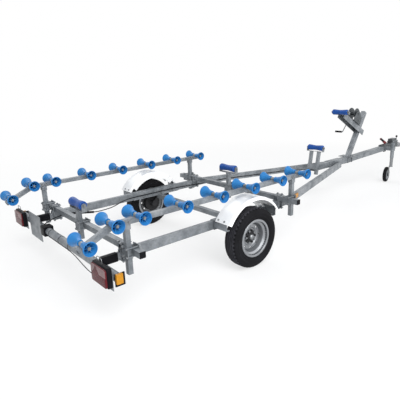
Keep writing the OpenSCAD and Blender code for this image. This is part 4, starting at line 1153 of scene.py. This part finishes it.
class TRAILER_OT_jockey_trim(bpy.types.Operator):
    """Add the jockey wheel's hub discs"""

    bl_idname = "trailer.jockey_trim"
    bl_label = "Jockey trim"

    # Half a section of one disc as (radius, distance from the wheel's middle)
    disc = [(0.034, 0.0225), (0.090, 0.0225), (0.092, 0.0265), (0.082, 0.0285)]
    disc += [(0.060, 0.0245), (0.040, 0.0275), (0.034, 0.0275)]
    segments = 40

    def execute(self, context):
        axis = Vector(JOINTS["jockey_wheel_spin"]["axis"])
        turn = axis.to_track_quat("Y", "Z").to_matrix().to_4x4()
        matrix = Matrix.Translation(pivot("jockey_wheel_spin")) @ turn

        def discs(bm):
            for way in (1, -1):
                lathe(bm, [(r, way * y) for r, y in self.disc], matrix, self.segments)

        add_piece("jockey_discs", discs, "jockey_wheel", "galvanised")
        return {"FINISHED"}


class TRAILER_OT_studio(bpy.types.Operator):
    """Set up the pale floor, the soft light and the camera"""

    bl_idname = "trailer.studio"
    bl_label = "Studio"

    floor_size = 80.0
    # The floor shows the shadow near the trailer and fades to plain white by these distances
    fade = (3.2, 8.0)
    fade_share = (0.62, 1.0)
    # Name, place, power in watts and size of each lamp
    lamps = (
        ("key", (-5.0, -7.0, 9.0), 850, 7.0),
        ("fill", (6.0, -8.0, 5.0), 200, 8.0),
        ("front", (-2.0, -9.0, 3.0), 350, 6.0),
        ("back", (0.0, 8.0, 8.0), 300, 8.0),
    )
    aim = Vector((0, 0, 0.5))
    sky = (0.94, 0.97, 1.0, 1.0)
    sky_strength = 0.52
    sensor_width = 36.0
    view_end = 200.0

    def seen_rays(self, tree):
        """One for rays that show the background: to the camera, in a reflection or through glass."""
        rays = add_node(tree, "LightPath").outputs
        seen = rays["Is Camera Ray"]
        for name in ("Is Glossy Ray", "Is Transmission Ray"):
            inputs = {0: seen, 1: rays[name]}
            seen = add_node(tree, "Math", inputs, operation="MAXIMUM").outputs["Value"]
        return seen

    def make_floor(self, colour):
        """A floor that keeps the shadow near the trailer and is plain white far off."""

        def plane(bm):
            bmesh.ops.create_grid(bm, x_segments=1, y_segments=1, size=self.floor_size / 2)

        finish = Finish("studio_floor", roughness=0.9)
        finish.colour(finish.tones(finish.noise(0.8), [(0.0, shade(colour, 0.99)), (1.0, colour)]))
        distance = finish.add("VectorMath", {0: finish.place}, operation="LENGTH").outputs["Value"]
        share = finish.map_range(distance, self.fade, self.fade_share)
        inputs = {0: self.seen_rays(finish.tree), 1: share}
        amount = finish.add("Math", inputs, operation="MULTIPLY").outputs["Value"]
        glow = finish.add("Emission").outputs["Emission"]
        mix = finish.add("MixShader", {"Fac": amount, 1: finish.shader.outputs["BSDF"], 2: glow})
        finish.tree.links.new(mix.outputs["Shader"], finish.output.inputs["Surface"])
        add_object("studio_floor", plane, [finish.material])

    def make_world(self, scene):
        """Soft light from all round, and white where the background shows."""
        world = bpy.data.worlds.new("studio")
        scene.world = world
        world.use_nodes = True
        tree = world.node_tree
        tree.nodes.clear()
        soft = add_node(tree, "Background", {"Color": self.sky, "Strength": self.sky_strength})
        white = add_node(tree, "Background", {"Color": (1.0, 1.0, 1.0, 1.0)})
        inputs = {"Fac": self.seen_rays(tree), 1: soft.outputs["Background"], 2: white.outputs["Background"]}
        mix = add_node(tree, "MixShader", inputs)
        add_node(tree, "OutputWorld", {"Surface": mix.outputs["Shader"]})

    def make_lamps(self, scene):
        """Area lamps that point at the trailer."""
        for name, place, power, size in self.lamps:
            light = bpy.data.lights.new(name, "AREA")
            light.energy = power
            light.size = size
            lamp = bpy.data.objects.new(name, light)
            lamp.matrix_world = facing(Vector(place), Vector(place) - self.aim)
            scene.collection.objects.link(lamp)

    def make_camera(self, scene, sizes):
        """The camera, placed from the ground under the axle."""
        data = bpy.data.cameras.new("camera")
        data.sensor_width = self.sensor_width
        data.lens = sizes.lens
        data.clip_end = self.view_end
        camera = bpy.data.objects.new("camera", data)
        yaw, pitch = sizes.camera_yaw, sizes.camera_pitch
        view = Vector((math.cos(yaw) * math.cos(pitch), math.sin(yaw) * math.cos(pitch), math.sin(pitch)))
        turn = view.to_track_quat("-Z", "Y").to_matrix().to_4x4() @ Matrix.Rotation(sizes.camera_roll, 4, "Z")
        ground = Vector((AXLE_MIDDLE.x, AXLE_MIDDLE.y, 0))
        camera.matrix_world = Matrix.Translation(ground + Vector(sizes.camera_offset)) @ turn
        scene.collection.objects.link(camera)
        scene.camera = camera

    def execute(self, context):
        scene = context.scene
        scene.view_settings.view_transform = "Standard"
        self.make_floor(scene.trailer_colours.floor)
        self.make_world(scene)
        self.make_lamps(scene)
        self.make_camera(scene, scene.trailer_sizes)
        return {"FINISHED"}


PIECES = (
    TRAILER_OT_finishes,
    TRAILER_OT_studio,
    TRAILER_OT_tyres,
    TRAILER_OT_wheel_trim,
    TRAILER_OT_roller_ribs,
    TRAILER_OT_fasteners,
    TRAILER_OT_guard_trim,
    TRAILER_OT_lamps,
    TRAILER_OT_light_fittings,
    TRAILER_OT_cable,
    TRAILER_OT_lamp_lead,
    TRAILER_OT_lever_cover,
    TRAILER_OT_winch_gear,
    TRAILER_OT_welds,
    TRAILER_OT_jockey_trim,
)


class TRAILER_PT_panel(bpy.types.Panel):
    """Lists the steps that dress the trailer"""

    bl_idname = "TRAILER_PT_panel"
    bl_label = "Boat trailer"
    bl_space_type = "VIEW_3D"
    bl_region_type = "UI"
    bl_category = "Trailer"

    def draw(self, context):
        for piece in PIECES:
            self.layout.operator(piece.bl_idname)
        for group in (context.scene.trailer_sizes, context.scene.trailer_colours):
            for name in group.bl_rna.properties.keys():
                if name not in {"rna_type", "name"}:
                    self.layout.prop(group, name)


CLASSES = (TrailerSizes, TrailerColours, *PIECES, TRAILER_PT_panel)


def register():
    for cls in CLASSES:
        bpy.utils.register_class(cls)
    bpy.types.Scene.trailer_sizes = PointerProperty(type=TrailerSizes)
    bpy.types.Scene.trailer_colours = PointerProperty(type=TrailerColours)


def unregister():
    del bpy.types.Scene.trailer_colours
    del bpy.types.Scene.trailer_sizes
    for cls in reversed(CLASSES):
        bpy.utils.unregister_class(cls)


def main():
    register()
    for piece in PIECES:
        group, name = piece.bl_idname.split(".")
        getattr(getattr(bpy.ops, group), name)()


if __name__ == "__main__":
    main()
